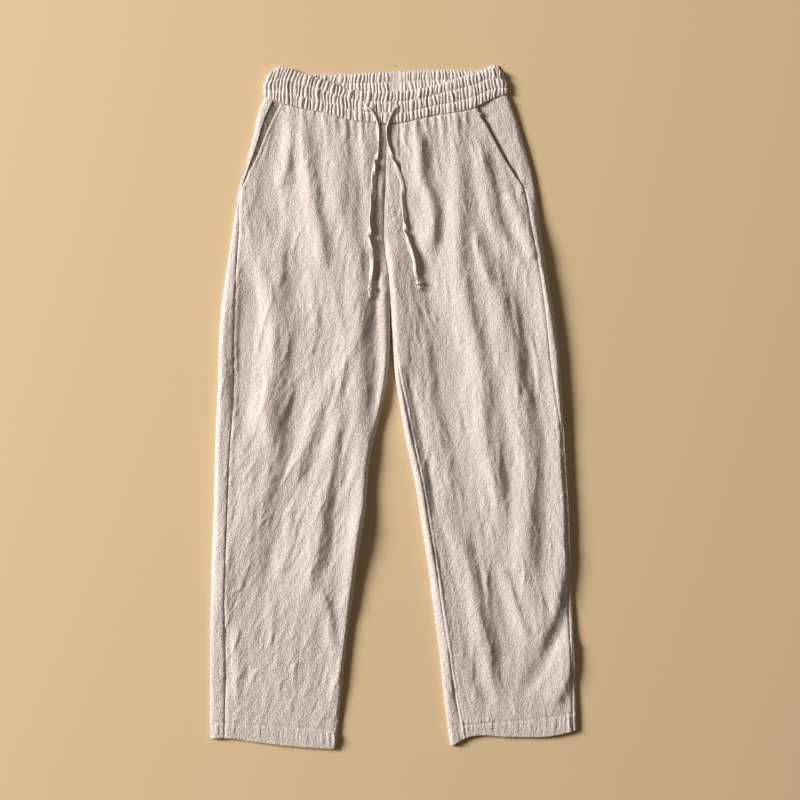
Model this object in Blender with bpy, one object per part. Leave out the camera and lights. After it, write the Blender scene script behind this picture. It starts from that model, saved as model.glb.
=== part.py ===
"""Summer trousers of washed linen, laid flat with the front up.

Metres, +Z up, +Y towards the waist, +X towards the viewer's right (the
wearer's left).  The back lies on z = 0.  Every piece is a thin wall of
cloth built from sections across the garment.
"""
import math

import bmesh
import bpy
import numpy as np

for old in list(bpy.data.objects):
    bpy.data.objects.remove(old, do_unlink=True)

# ------------------------------------------------------------------ sizes
SQ = 0.0015            # one square of the lay drawing, m
MID_X, MID_Y = 393.603, 407.58   # middle of the laid garment, in squares
MM = 0.001
SEAM_GAP = 0.30        # clear gap at every seam, mm
BAND_GAP = 0.35        # clear gap under the band, squares

FRONT_WALL = 1.3       # front cloth, mm
BACK_WALL = 1.3        # back cloth, mm
HEM_WALL = 1.9         # turned hem, mm
HEM_DEPTH = 17.0       # squares
BAG_WALL = 1.0         # pocket bag cloth, mm
BAND_WALL = 2.2        # two cloths and the elastic between them, mm
BAND_LOFT = 7.9        # band, front outside above the table, mm
EDGE_MID = 2.6         # height of the folded edge's nose, mm
EDGE_TOP_R = 4.0       # rounding of the folded edge, upper half, squares
EDGE_LOW_R = 2.2       # the same, lower half, squares
CROTCH_Y = 290.0       # where the legs part, squares down the drawing
LOFT_HIP = 6.9         # height of the front over the table at the hip, mm
LOFT_LEG = 6.0         # and at the knee and hem, mm
LOFT_LOW = 4.6         # never lower than this, mm

TAPE_D = 5.0           # drawstring over its twists, mm
KNOT_D = 8.5           # knot, mm

# ---------------------------------------------- outlines, (down, across)
# columns: y down the drawing, x across it, in squares
OUTER_R = [(97, 265), (104, 262), (112, 259), (124, 256), (130, 255), (150, 250), (170, 245), (190, 240),
           (210, 236), (230, 233), (250, 230), (270, 227), (290, 224), (310, 221.5), (350, 219), (390, 218),
           (430, 216), (470, 215), (510, 214), (550, 212.3), (590, 211.4), (630, 210.6), (690, 210.4), (740, 210.4)]
OUTER_L = [(94, 506.5), (104, 511), (126, 518.3), (147, 524.8), (170, 531.3), (196, 536.2),
           (230, 541), (250, 544), (270, 547), (290, 550.2), (310, 553.5), (330, 556.5), (350, 559),
           (370, 560.5), (390, 562), (410, 563), (450, 564), (490, 566.5), (530, 568.5), (570, 570.3), (610, 572.3),
           (650, 574.2), (690, 575.4), (728, 576.8), (740, 577)]
INNER_R = [(100, 387.3), (124, 387), (180, 385.5), (222, 384.2), (251, 384.9), (277, 389), (290, 389.6), (300, 389.9), (335, 390.4),
           (356, 389.4), (374, 387.6), (392, 385), (405, 382.3), (420, 379), (450, 372), (470, 368.5), (490, 367.2),
           (510, 365.8), (550, 359.5), (590, 354), (630, 348.3), (670, 344), (710, 340.3), (750, 336)]
INNER_L = [(100, 387.3), (124, 387), (180, 385.5), (222, 384.2), (251, 384.9), (277, 389), (290, 389.6), (300, 390), (335, 391.6),
           (351, 393), (374, 394.8), (392, 397.3), (407, 400), (430, 403.8), (450, 408), (490, 416), (530, 422.3),
           (570, 428.5), (610, 433.5), (650, 439), (690, 443), (730, 448), (750, 451)]
SIDE_R = [(98, 275), (104, 272.5), (123, 264), (135, 260.3), (152, 255), (168, 248.8), (191, 241), (230, 239.6),
          (278, 236.3), (306, 235.6), (334, 234.6), (390, 234.2), (457, 230.2), (510, 228.2), (564, 226.2),
          (599, 225.2), (624, 225.4), (675, 226), (740, 225)]
SIDE_L = [(96, 493.2), (101.4, 495.3), (111.5, 500.3), (126, 504.6), (140, 509), (152, 512), (170, 518.6), (191, 524.6),
          (230, 531.5), (270, 538.6),
          (303, 543.5), (334, 547), (367, 550.5), (403, 556), (427, 559.5), (450, 561), (477, 562.6), (501, 564.4),
          (540, 566), (600, 568), (660, 570.5), (740, 573)]
OPENING_R = [(98, 284), (104, 281.1), (124, 271), (145, 262.4), (158, 257.3), (168.4, 252), (191, 241)]
OPENING_L = [(98, 471.5), (108.2, 476.5), (116.5, 479.8), (125, 485.5), (141, 493.8), (155.4, 501.7), (166, 508),
             (177, 515.3), (191, 524.6)]
POCKET_END = 191.0
INSEAM_SET_L = [(290, 0.0), (322, 0.0), (345, 2.0), (370, 4.6), (393, 6.0), (470, 7.5), (600, 8.5), (650, 9.6), (740, 13.5)]

# band: (across, down)
RIM_FRONT = [(267, 76), (281, 68.8), (300, 74.2), (315, 78.5), (329, 83), (348, 90.3), (358, 92), (390, 92.8),
             (410, 92), (432, 87.7), (456, 80.2), (475, 74.6), (490, 69.5), (505, 75)]
BAND_SEAM = [(265, 97.4), (281, 103.5), (304, 109.5), (326, 113.5), (348, 120.2), (371, 123.3), (388, 124.3),
             (400, 123.8), (415, 120.7), (436, 115.6), (454, 113.2), (476, 108), (488, 101.8), (507, 94.6)]
RIM_BACK = [(267, 76), (279, 67.6), (290, 71.8), (304, 74.6), (342, 75.2), (380, 73.6), (400, 72.2), (460, 71),
            (485, 70.2), (496, 65.8), (505, 75)]
BACK_SEAM = [(265, 97.4), (386, 105), (507, 94.6)]      # two straight edges
HEM_R = [(205, 738.6), (226, 737), (256, 741), (281, 744), (317, 747), (333, 748), (342, 748)]
HEM_L = [(440, 745), (452, 744.5), (465, 737.4), (512, 736), (551, 735), (568, 731.5), (577, 728.8), (585, 728)]

# ----------------------------------------------------- the largest folds
# name: (height mm, width on the left, width on the right, crest line as
# (across, down) points in squares).  A minus height is a trough.
FOLDS = {
    "side_ridge_right": (2.2, 8, 17, [(247, 186), (240, 230), (234, 280), (230, 320), (228, 400), (224, 480), (220, 570), (219, 640)]),
    "hip_ridge_right": (3.4, 9, 13, [(304, 122), (306, 150), (309, 178), (315, 205), (322, 235), (325, 262)]),
    "long_ridge_right": (4.6, 19, 8, [(335, 120), (337, 150), (342, 182), (347, 210), (354, 240), (359, 270), (361, 300),
                                     (360, 340), (361, 380), (361, 420), (364, 455), (366, 495), (358, 540), (349, 600)]),
    "knee_ridge_right": (3.8, 12, 7, [(346, 340), (340, 380), (337, 420), (333, 460), (325, 500), (319, 540), (311, 585)]),
    "string_ridge_right": (3.4, 7, 8, [(361, 128), (365, 160), (369, 200), (372, 235), (374, 262)]),
    "crotch_ridge_right": (3.6, 9, 6, [(380, 262), (384, 290), (383, 330), (383, 380), (377, 425)]),
    "thigh_ridge_right": (2.6, 12, 9, [(284, 225), (283, 255), (276, 285), (266, 318), (270, 352), (271, 395), (268, 440),
                                       (273, 470), (268, 515), (259, 560)]),
    "cross_ridge_right": (3.0, 16, 7, [(329, 372), (321, 404), (311, 432), (303, 455), (298, 485)]),
    "pocket_trough_right": (-2.0, 10, 12, [(282, 116), (271, 160), (266, 205), (257, 255), (249, 300), (243, 345)]),
    "hem_fold_right": (-2.0, 5, 6, [(228, 636), (232, 668), (240, 705)]),
    "fly_ridge_left": (3.8, 10, 8, [(417, 126), (421, 150), (425, 175), (431, 205), (430, 235), (426, 256)]),
    "long_ridge_left": (4.2, 12, 9, [(453, 120), (457, 150), (458, 180), (459, 215), (458, 255), (461, 290), (467, 322),
                                     (474, 348), (479, 378), (481, 405), (483, 432), (489, 462), (497, 492), (500, 545)]),
    "hip_ridge_left": (3.0, 11, 8, [(477, 145), (483, 175), (491, 202), (501, 232), (514, 258)]),
    "thigh_ridge_left": (4.4, 15, 7, [(481, 245), (488, 268), (497, 290), (504, 322), (513, 355), (521, 385), (527, 420),
                                      (529, 455), (529, 490), (527, 530), (527, 590)]),
    "side_ridge_left": (4.4, 16, 7, [(524, 196), (533, 235), (543, 285), (552, 330), (558, 372), (562, 420), (564, 470),
                                     (566, 525), (563, 575), (553, 615), (542, 640)]),
    "crotch_trough_left": (-2.6, 17, 13, [(416, 190), (420, 235), (428, 290), (441, 335), (449, 372), (452, 405)]),
    "crotch_ridge_left": (2.0, 6, 6, [(392, 232), (396, 275), (397, 330), (400, 372), (408, 420), (419, 470), (430, 530),
                                      (441, 590), (447, 650)]),
    "inner_ridge_left": (2.6, 12, 9, [(425, 330), (428, 365), (432, 400), (437, 430), (446, 465), (458, 502)]),
    "calf_trough_left": (-2.6, 10, 9, [(450, 560), (460, 605), (469, 645), (481, 680), (495, 714)]),
    "hem_trough_left": (-3.0, 9, 8, [(563, 622), (552, 645), (541, 668), (526, 690)]),
    "hem_ridge_left": (2.4, 14, 8, [(572, 636), (567, 672), (553, 706)]),
}


# --------------------------------------------------------------- helpers
def curve(table, at):
    """Smooth curve through a two-column table, flat beyond its ends."""
    t = np.array([row[0] for row in table], float)
    v = np.array([row[1] for row in table], float)
    slope = np.gradient(v, t)
    at = np.clip(np.asarray(at, float), t[0], t[-1])
    i = np.clip(np.searchsorted(t, at, side="right") - 1, 0, len(t) - 2)
    h = t[i + 1] - t[i]
    u = (at - t[i]) / h
    return ((1 + 2 * u) * (1 - u) ** 2 * v[i] + u * (1 - u) ** 2 * h * slope[i]
            + u * u * (3 - 2 * u) * v[i + 1] + u * u * (u - 1) * h * slope[i + 1])


def seam_y(table, x):
    """Height down the drawing of a band edge; the back's edge is straight."""
    if table is BACK_SEAM:
        return np.interp(x, [row[0] for row in table], [row[1] for row in table])
    return curve(table, x)


def ease(lo, hi, x):
    u = np.clip((np.asarray(x, float) - lo) / (hi - lo), 0, 1)
    return u * u * (3 - 2 * u)


def smooth_path(points, steps=5):
    """Points of a smooth line through the given points."""
    p = np.array(points, float)
    along = np.concatenate([[0], np.cumsum(np.linalg.norm(np.diff(p[:, :2], axis=0), axis=1))])
    s = np.linspace(0, along[-1], (len(p) - 1) * steps + 1)
    cols = [curve(list(zip(along, p[:, k])), s) for k in range(p.shape[1])]
    return np.stack(cols, axis=1)


def across_line(path, x, y):
    """Signed distance to the right of a line, and the share of its length."""
    best = np.full(x.shape, 1e9)
    side = np.zeros(x.shape)
    share = np.zeros(x.shape)
    n = len(path) - 1
    for k in range(n):
        ax, ay = path[k]
        bx, by = path[k + 1]
        dx, dy = bx - ax, by - ay
        length = math.hypot(dx, dy)
        u = np.clip(((x - ax) * dx + (y - ay) * dy) / length ** 2, 0, 1)
        qx, qy = x - (ax + u * dx), y - (ay + u * dy)
        d = np.hypot(qx, qy)
        hit = d < best
        best = np.where(hit, d, best)
        side = np.where(hit, np.sign(qx * dy - qy * dx) * d, side)
        share = np.where(hit, (k + u) / n, share)
    return side, share


def folds(x, y):
    total = np.zeros(x.shape)
    for height, left, right, line in FOLDS.values():
        s, a = across_line(smooth_path(line, 3), x, y)
        w = np.where(s < 0, left, right)
        total += height * np.exp(-(s / w) ** 2) * (0.35 + 0.65 * ease(0, 0.14, a) * ease(1.0, 0.86, a))
    return total


def loft(x, y):
    """Height of the front cloth over the table, mm."""
    base = LOFT_HIP + (LOFT_LEG - LOFT_HIP) * ease(230, 420, y)
    calm = ease(118, 150, y) * 0.45 + 0.55          # held down by the band seam
    hem = 1 - 0.45 * ease(700, 735, y)              # and by the stitched hem
    z = base + folds(x, y) * calm * hem
    low = np.where(y < 275, 5.9, LOFT_LOW)
    return low + np.logaddexp(0, (z - low) / 0.8) * 0.8


def to_world(x, y, z_mm):
    return np.stack([(x - MID_X) * SQ, (MID_Y - y) * SQ, z_mm * MM], axis=-1)


def edge_round(d, r):
    """0 at the nose of a folded edge to 1 where it has turned flat."""
    u = np.clip(d / r, 0, 1)
    return np.sqrt(np.maximum(1 - (1 - u) ** 2, 0))


class Leg:
    """One half of the trousers: outlines and the section at a row."""

    def __init__(self, side):
        self.side = side
        right = side == "right"
        self.sign = 1 if right else -1          # towards the centre line
        self.outer = OUTER_R if right else OUTER_L
        self.inner = INNER_R if right else INNER_L
        self.seam = SIDE_R if right else SIDE_L
        self.opening = OPENING_R if right else OPENING_L
        self.hem = HEM_R if right else HEM_L
        self.inset = None if right else INSEAM_SET_L

    def row_y(self, row, x, top=BAND_SEAM):
        """Height down the drawing of row (0 band seam .. 1 hem) at x."""
        y_top = seam_y(top, x) + BAND_GAP
        y_hem = curve(self.hem, x)
        mid_top, mid_hem = 112.0, 740.0
        y = mid_top + (mid_hem - mid_top) * row
        return y + (y_top - mid_top) * (1 - ease(0, 0.16, row)) + (y_hem - mid_hem) * ease(0.84, 1.0, row)

    def ends(self, y):
        apart = ease(CROTCH_Y - 2, CROTCH_Y + 34, y)
        x_in = curve(self.inner, y) - self.sign * 0.1
        return curve(self.outer, y), x_in, apart

    def top_z(self, x, y):
        """Outer surface of the upper cloth, rounded down at folded edges."""
        x_out, x_in, apart = self.ends(y)
        z = loft(x, y)
        d_out = np.abs(x - x_out)
        z = EDGE_MID + (z - EDGE_MID) * edge_round(d_out, EDGE_TOP_R)
        d_in = np.abs(x_in - x)
        inner = EDGE_MID + (z - EDGE_MID) * edge_round(d_in, EDGE_TOP_R)
        return z + (inner - z) * apart

    def low_z(self, x, y):
        x_out, x_in, apart = self.ends(y)
        z = EDGE_MID * (1 - edge_round(np.abs(x - x_out), EDGE_LOW_R))
        return z + EDGE_MID * (1 - edge_round(np.abs(x_in - x), EDGE_LOW_R)) * apart

    def across(self, row, x_from, x_to, upper, count=60):
        """Dense points of the upper or lower cloth from one x to another."""
        u = np.linspace(0, 1, count)
        u = 0.5 - 0.5 * np.cos(np.pi * u)           # close together at edges
        x = x_from + (x_to - x_from) * u
        y = self.row_y(row, x, BAND_SEAM if upper else BACK_SEAM)
        z = self.top_z(x, y) if upper else self.low_z(x, y)
        return np.stack([x, y, z], axis=1)

    def at(self, table, row):
        """Where an (y, x) outline crosses a row."""
        x = float(curve(table, 112 + 628 * row))
        for _ in range(12):
            x = 0.5 * x + 0.5 * float(curve(table, self.row_y(row, np.array([x]))[0]))
        return x


def spread(path, first, last, middle):
    """Points of a dense path at set lengths from both ends, evenly between
    them, and the path's direction at each."""
    flat = path * np.array([SQ / MM, SQ / MM, 1.0])
    along = np.concatenate([[0], np.cumsum(np.linalg.norm(np.diff(flat, axis=0), axis=1))])
    total = along[-1]
    s = list(first) + list(np.linspace(first[-1], total - last[-1], middle + 2)[1:-1])
    s += [total - v for v in reversed(last)]
    lo, hi = np.clip(np.array(s) - 0.35, 0, total), np.clip(np.array(s) + 0.35, 0, total)
    way = [np.interp(hi, along, flat[:, k]) - np.interp(lo, along, flat[:, k]) for k in range(3)]
    return np.stack([np.interp(s, along, path[:, k]) for k in range(3)] + way, axis=1)


def length(path):
    flat = path * np.array([SQ / MM, SQ / MM, 1.0])
    return float(np.linalg.norm(np.diff(flat, axis=0), axis=1).sum())


def round_nose(nose):
    """Lengths from a seam at which points lie, over a folded edge."""
    marks = [0.0, 0.5 * nose, nose - 1.4, nose, nose + 1.4, nose + 4.5]
    for k in range(1, 6):
        marks[k] = max(marks[k], marks[k - 1] + 1.35)
    return marks


def trim(path, start, end):
    """Cut lengths in mm off both ends of a dense path."""
    flat = path * np.array([SQ / MM, SQ / MM, 1.0])
    along = np.concatenate([[0], np.cumsum(np.linalg.norm(np.diff(flat, axis=0), axis=1))])
    s = np.concatenate([[start], along[(along > start + 0.05) & (along < along[-1] - end - 0.05)], [along[-1] - end]])
    return np.stack([np.interp(s, along, path[:, k]) for k in range(3)], axis=1)


def material(name, colour, rough):
    mat = bpy.data.materials.new(name)
    mat.use_nodes = True
    shader = next(n for n in mat.node_tree.nodes if n.type == "BSDF_PRINCIPLED")
    shader.inputs["Base Color"].default_value = (*colour, 1)
    shader.inputs["Roughness"].default_value = rough
    shader.inputs["Metallic"].default_value = 0.0
    return mat


LINEN = (0.60, 0.51, 0.44)
HOLDER = bpy.data.objects.new("trousers", None)
bpy.context.collection.objects.link(HOLDER)


def finish(name, bm, colour=LINEN, rough=0.92):
    bmesh.ops.recalc_face_normals(bm, faces=bm.faces)
    mesh = bpy.data.meshes.new(name)
    bm.to_mesh(mesh)
    bm.free()
    obj = bpy.data.objects.new(name, mesh)
    obj.data.materials.append(material(name + "_linen", colour, rough))
    bpy.context.collection.objects.link(obj)
    obj.parent = HOLDER
    return obj


def wall(name, grid, thick, closed=False):
    """Closed wall of cloth from outer points [row][column] and thickness.

    The thickness, in mm, goes to the inside of the tube.  A closed wall
    runs round as a ring.
    """
    rows, cols = grid.shape[:2]
    outer = to_world(grid[..., 0], grid[..., 1], grid[..., 2])
    if closed:
        around = np.roll(outer, -1, axis=1) - np.roll(outer, 1, axis=1)
    else:
        around = grid[..., 3:] * np.array([1.0, -1.0, 1.0])
    down = np.gradient(outer, axis=0)
    normal = np.cross(down, around)
    normal /= np.linalg.norm(normal, axis=2, keepdims=True)
    thick = np.asarray(thick)[..., None] * MM
    inner = outer - normal * thick
    if not closed:                       # rims lean back, so seams stay open
        lean = around / np.linalg.norm(around, axis=2, keepdims=True)
        inner[:, 0] += 0.3 * thick[:, 0] * lean[:, 0]
        inner[:, -1] -= 0.3 * thick[:, -1] * lean[:, -1]
    bm = bmesh.new()
    a = [[bm.verts.new(outer[r, c]) for c in range(cols)] for r in range(rows)]
    b = [[bm.verts.new(inner[r, c]) for c in range(cols)] for r in range(rows)]
    last = cols if closed else cols - 1
    for r in range(rows - 1):
        for c in range(last):
            n = (c + 1) % cols
            bm.faces.new((a[r][c], a[r + 1][c], a[r + 1][n], a[r][n]))
            bm.faces.new((b[r][c], b[r][n], b[r + 1][n], b[r + 1][c]))
    for c in range(last):
        n = (c + 1) % cols
        bm.faces.new((a[0][c], a[0][n], b[0][n], b[0][c]))
        bm.faces.new((a[-1][c], b[-1][c], b[-1][n], a[-1][n]))
    if not closed:
        for r in range(rows - 1):
            bm.faces.new((a[r][0], b[r][0], b[r + 1][0], a[r + 1][0]))
            bm.faces.new((a[r][-1], a[r + 1][-1], b[r + 1][-1], b[r][-1]))
    return finish(name, bm)


POCKET_ROW = 0.1258     # the row at the pocket's lower end
ROWS = np.array([0, 0.02, 0.045, 0.07, 0.095, POCKET_ROW, 0.155, 0.19, 0.225, 0.255, 0.2834, 0.31, 0.345, 0.385,
                 0.43, 0.475, 0.52, 0.565, 0.61, 0.655, 0.70, 0.745, 0.79, 0.835, 0.88, 0.925, 0.957, 0.973, 1.0])


def thickness(leg, grid, cloth):
    hem = curve(leg.hem, grid[..., 0])
    return cloth + (HEM_WALL - cloth) * ease(hem - HEM_DEPTH - 3, hem - HEM_DEPTH + 1, grid[..., 1])


def turned(grid, thick, flip):
    """Columns the other way round, so that a wall's inside is inside."""
    if not flip:
        return grid, thick
    return grid[:, ::-1] * np.array([1, 1, 1, -1, -1, -1.0]), thick[:, ::-1]


def build_front(leg):
    lines = []
    for row in ROWS:
        y_mid = 112 + 628 * row
        x_start = leg.at(leg.opening if row < POCKET_ROW - 1e-6 else leg.seam, row)
        x_in = leg.at(leg.inner, row) - leg.sign * 0.1
        inset = 0.0 if leg.inset is None else float(curve(leg.inset, y_mid))
        path = leg.across(row, x_start, x_in - leg.sign * inset, True)
        path = trim(path, SEAM_GAP / 2, SEAM_GAP / 2)
        line = spread(path, [0, 3.0, 7.0], [0, 2.4, 5.2, 9.0], 10)
        if leg.inset is None or inset == 0:
            apart = leg.ends(np.array([y_mid]))[2][0]
            line[-1, 3:] = line[-1, 3:] * (1 - apart) + np.array([0, 0, -0.35]) * apart
        lines.append(line)
    grid = np.array(lines)
    thick = thickness(leg, grid, FRONT_WALL)
    return wall("front_" + leg.side, *turned(grid, thick, leg.sign < 0))


def build_back(leg):
    lines = []
    for row in ROWS:
        x_seam, x_out = leg.at(leg.seam, row), leg.at(leg.outer, row)
        x_in = leg.at(leg.inner, row) - leg.sign * 0.1
        y_mid = 112 + 628 * row
        inset = 0.0 if leg.inset is None else float(curve(leg.inset, y_mid))
        over = leg.across(row, x_seam, x_out, True, 40)
        under = leg.across(row, x_out, x_in, False, 120)
        parts = [over, under[1:]]
        nose = 0.0
        if inset > 0.05:
            parts.append(leg.across(row, x_in, x_in - leg.sign * inset, True, 40)[1:])
            nose = length(parts[-1])
        path = trim(np.concatenate(parts), SEAM_GAP / 2, SEAM_GAP / 2)
        line = spread(path, round_nose(length(over)), round_nose(nose), 2)
        if inset <= 0.05:
            apart = leg.ends(np.array([y_mid]))[2][0]
            line[-1, 3:] = line[-1, 3:] * (1 - apart) + np.array([0, 0, 0.35]) * apart
        lines.append(line)
    grid = np.array(lines)
    thick = thickness(leg, grid, BACK_WALL)
    return wall("back_" + leg.side, *turned(grid, thick, leg.sign > 0))


def build_pocket(leg):
    """Hip facing and folded bag in one piece; a U in section."""
    reach = 62.0                                      # squares in from the side seam
    upper_top = 4.15                                  # the bag lies flat under the front, mm
    upper_low = upper_top - BAG_WALL
    lower_top = upper_low - 0.32
    bm = bmesh.new()
    rings = []
    for row in ROWS[:9]:
        y_mid = 112 + 628 * row
        below = row > POCKET_ROW - 1e-6
        seam = leg.at(leg.seam, row) + leg.sign * (0.2 if not below else 2.0 + 7 * ease(191, 262, y_mid))
        edge = seam + leg.sign * 1.0 if below else leg.at(leg.opening, row)
        turn = seam + leg.sign * (reach - 16 * ease(205, 262, y_mid))
        x = np.concatenate([np.linspace(seam, edge, 3), np.linspace(edge + leg.sign * 2.8, turn, 6)])
        y = leg.row_y(row, x)
        low = np.full(9, lower_top)
        if not below:
            low[:3] = leg.top_z(x[:3], y[:3]) - FRONT_WALL - 0.6
        x_up, y_up = x[3:].copy(), y[3:].copy()
        x_up[0] += leg.sign
        outer = [(x[k], y[k], low[k] - BAG_WALL) for k in range(9)]
        inner = [(x[k], y[k], low[k]) for k in range(9)]
        outer.append((x[-1] + leg.sign, y[-1], (upper_top + lower_top - BAG_WALL) / 2))
        inner.append((x[-1] + leg.sign * 0.25, y[-1], (upper_low + lower_top) / 2))
        for k in range(5, -1, -1):
            outer.append((x_up[k], y_up[k], upper_top))
            inner.append((x_up[k], y_up[k], upper_low))
        rings.append([bm.verts.new(to_world(*p)) for p in outer + inner[::-1]])
    n = len(rings[0])
    for a, b in zip(rings, rings[1:]):
        for k in range(n):
            m = (k + 1) % n
            bm.faces.new((a[k], a[m], b[m], b[k]))
    for ring in (rings[0], rings[-1]):
        for k in range(n // 2 - 1):
            bm.faces.new((ring[k], ring[k + 1], ring[n - 2 - k], ring[n - 1 - k]))
    return finish("pocket_" + leg.side, bm, (0.55, 0.47, 0.40), 0.93)


def build_band():
    """Ring of the waistband: front over the back, rounded at both sides."""
    levels = [0.0, 0.30, 0.66, 1.0]
    grid = []
    for level in levels:
        left = 272.6 + (264.9 - 272.6) * ease(-0.2, 0.55, level)
        right = 500.6 + (507.0 - 500.6) * ease(-0.2, 0.8, level)
        span = np.linspace(0, 1, 22)
        span = 0.7 * span + 0.3 * (0.5 - 0.5 * np.cos(np.pi * span))
        x = left + 3.0 + (right - left - 6.0) * span
        y = curve(RIM_FRONT, x) * (1 - level) + curve(BAND_SEAM, x) * level
        front = np.stack([x, y, np.full(x.shape, BAND_LOFT)], axis=1)
        y = curve(RIM_BACK, x) * (1 - level) + seam_y(BACK_SEAM, x) * level
        back = np.stack([x, y, np.zeros(x.shape)], axis=1)
        turn = []
        for edge, sign in ((right, 1), (left, -1)):
            arc = []
            for deg in (32, 62, 90, 118, 148):
                a = math.radians(deg)
                mix = (1 - math.cos(a)) / 2
                x_arc = edge - sign * 3.0 * (1 - math.sin(a))
                y_up = curve(RIM_FRONT, x_arc) * (1 - level) + curve(BAND_SEAM, x_arc) * level
                y_low = curve(RIM_BACK, x_arc) * (1 - level) + seam_y(BACK_SEAM, x_arc) * level
                arc.append((x_arc, float(y_up * (1 - mix) + y_low * mix), BAND_LOFT * (1 - mix)))
            turn.append(arc if sign > 0 else arc[::-1])
        grid.append(np.concatenate([front, turn[0], back[::-1], turn[1]]))
    grid = np.array(grid)
    return wall("waistband", grid, np.full(grid.shape[:2], BAND_WALL), closed=True)


# drawstring routes: (across, down) in squares, from the buttonhole out
ROUTE_RIGHT = [(365.8, 108.6), (370.7, 110.3), (374.9, 116.7), (377, 123.7), (378.4, 136), (378.4, 149), (375.6, 163),
               (373.5, 174), (372.8, 188), (372, 202), (370.7, 216), (370, 230), (370, 241.5), (371.4, 251),
               (372, 262.6), (371.4, 275), (370.4, 286)]
ROUTE_LEFT = [(398.8, 107.6), (393, 114), (389.0, 121.6), (386.6, 128.5), (387.5, 139), (390.3, 151.7), (395.2, 165.8),
              (399.5, 175.6), (403, 188), (402.8, 199.4), (403.7, 213.5), (404.4, 226), (407.9, 241.5),
              (411.4, 252.8), (414.4, 264), (415.0, 272.4), (417.4, 280.5)]


def lay_height(x, y, legs):
    """Highest cloth under a string of the tape's width, mm."""
    best = 0.0
    for dx in (-2.0, -1.0, 0.0, 1.0, 2.0):
        for dy in (-1.5, 0.0, 1.5):
            px, py = np.array([x + dx]), np.array([y + dy])
            leg = legs[0] if px[0] < curve(INNER_R, py)[0] else legs[1]
            z = leg.top_z(px, py)[0]
            if py[0] < curve(BAND_SEAM, px)[0] + 1.5:
                z = max(z, BAND_LOFT)
            best = max(best, float(z))
    return best


def build_string(name, route, legs):
    line = smooth_path(route, 6)
    step = np.linalg.norm(np.diff(line, axis=0), axis=1)
    along = np.concatenate([[0], np.cumsum(step)])
    count = int(along[-1] * SQ / 0.0115) + 1
    s = np.linspace(0, along[-1], count)
    xy = np.stack([np.interp(s, along, line[:, k]) for k in (0, 1)], axis=1)
    fine = np.linspace(0, along[-1], count * 5)
    under = np.array([lay_height(np.interp(v, along, line[:, 0]), np.interp(v, along, line[:, 1]), legs) for v in fine])
    reach = 0.75 * (s[1] - s[0])
    soft = np.array([under[np.abs(fine - v) <= reach].max() for v in s]) + TAPE_D / 2 + 0.4
    data = bpy.data.curves.new(name, "CURVE")
    data.dimensions = "3D"
    data.bevel_depth = TAPE_D / 2 * MM
    data.bevel_resolution = 2
    data.use_fill_caps = True
    data.render_resolution_u = 0
    line = data.splines.new("POLY")
    line.points.add(count - 1)
    pts = to_world(xy[:, 0], xy[:, 1], soft)
    for k, p in enumerate(pts):
        line.points[k].co = (*p, 1)
    obj = bpy.data.objects.new(name, data)
    obj.data.materials.append(material(name + "_linen", LINEN, 0.9))
    bpy.context.collection.objects.link(obj)
    obj.parent = HOLDER
    # the knot lies just past the tape's end, in line with it
    way = pts[-1] - pts[-2]
    way[2] = 0
    way /= np.linalg.norm(way)
    bm = bmesh.new()
    bmesh.ops.create_uvsphere(bm, u_segments=10, v_segments=7, radius=KNOT_D / 2 * MM)
    bmesh.ops.scale(bm, vec=(1.25, 0.9, 0.82), verts=bm.verts)
    knot = finish(name.replace("drawstring", "knot"), bm, LINEN, 0.9)
    knot.rotation_euler[2] = math.atan2(way[1], way[0])
    here = pts[-1] + way * (KNOT_D * 1.25 / 2 + 0.35) * MM
    floor = lay_height(here[0] / SQ + MID_X, MID_Y - here[1] / SQ, legs)
    knot.location = (here[0], here[1], max(floor + KNOT_D * 0.41 + 0.9, soft[-1] - 0.3) * MM)
    return obj


LEG_R, LEG_L = Leg("right"), Leg("left")
build_band()
for leg in (LEG_R, LEG_L):
    build_front(leg)
    build_back(leg)
    build_pocket(leg)
build_string("drawstring_right", ROUTE_RIGHT, (LEG_R, LEG_L))
build_string("drawstring_left", ROUTE_LEFT, (LEG_R, LEG_L))
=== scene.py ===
import math

import bpy
import numpy as np
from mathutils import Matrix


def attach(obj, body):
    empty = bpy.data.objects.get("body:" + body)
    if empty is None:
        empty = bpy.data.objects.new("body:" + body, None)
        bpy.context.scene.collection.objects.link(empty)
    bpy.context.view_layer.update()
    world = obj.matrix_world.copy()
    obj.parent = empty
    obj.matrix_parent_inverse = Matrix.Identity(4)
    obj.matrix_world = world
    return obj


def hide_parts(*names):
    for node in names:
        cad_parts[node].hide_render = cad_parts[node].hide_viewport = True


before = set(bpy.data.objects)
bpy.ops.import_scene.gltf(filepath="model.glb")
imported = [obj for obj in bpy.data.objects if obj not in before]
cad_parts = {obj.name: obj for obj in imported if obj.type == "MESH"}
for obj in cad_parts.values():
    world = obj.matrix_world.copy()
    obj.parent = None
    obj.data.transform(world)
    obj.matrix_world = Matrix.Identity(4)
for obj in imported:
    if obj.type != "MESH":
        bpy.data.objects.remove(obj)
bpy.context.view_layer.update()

# RELIEF BEGIN
# ------------------------------------------------------------------ sizes
SQ = 0.0015            # one square of the lay drawing, m
MID_X, MID_Y = 393.603, 407.58   # middle of the laid garment, in squares
MM = 0.001
EDGE_MID = 2.6         # height of a folded edge's nose, mm
EDGE_TOP_R = 6.0       # rounding of a folded edge, upper half, squares
EDGE_LOW_R = 2.2       # the same, lower half
CROTCH_Y = 290.0
LOFT_HIP, LOFT_LEG, LOFT_LOW = 8.2, 7.4, 3.6
BAND_LOFT = 7.6
BAND_WALL = 2.2
GRID = 0.5             # spacing of the relief grid, squares
AREA = (196.0, 592.0, 92.0, 756.0)

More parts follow.
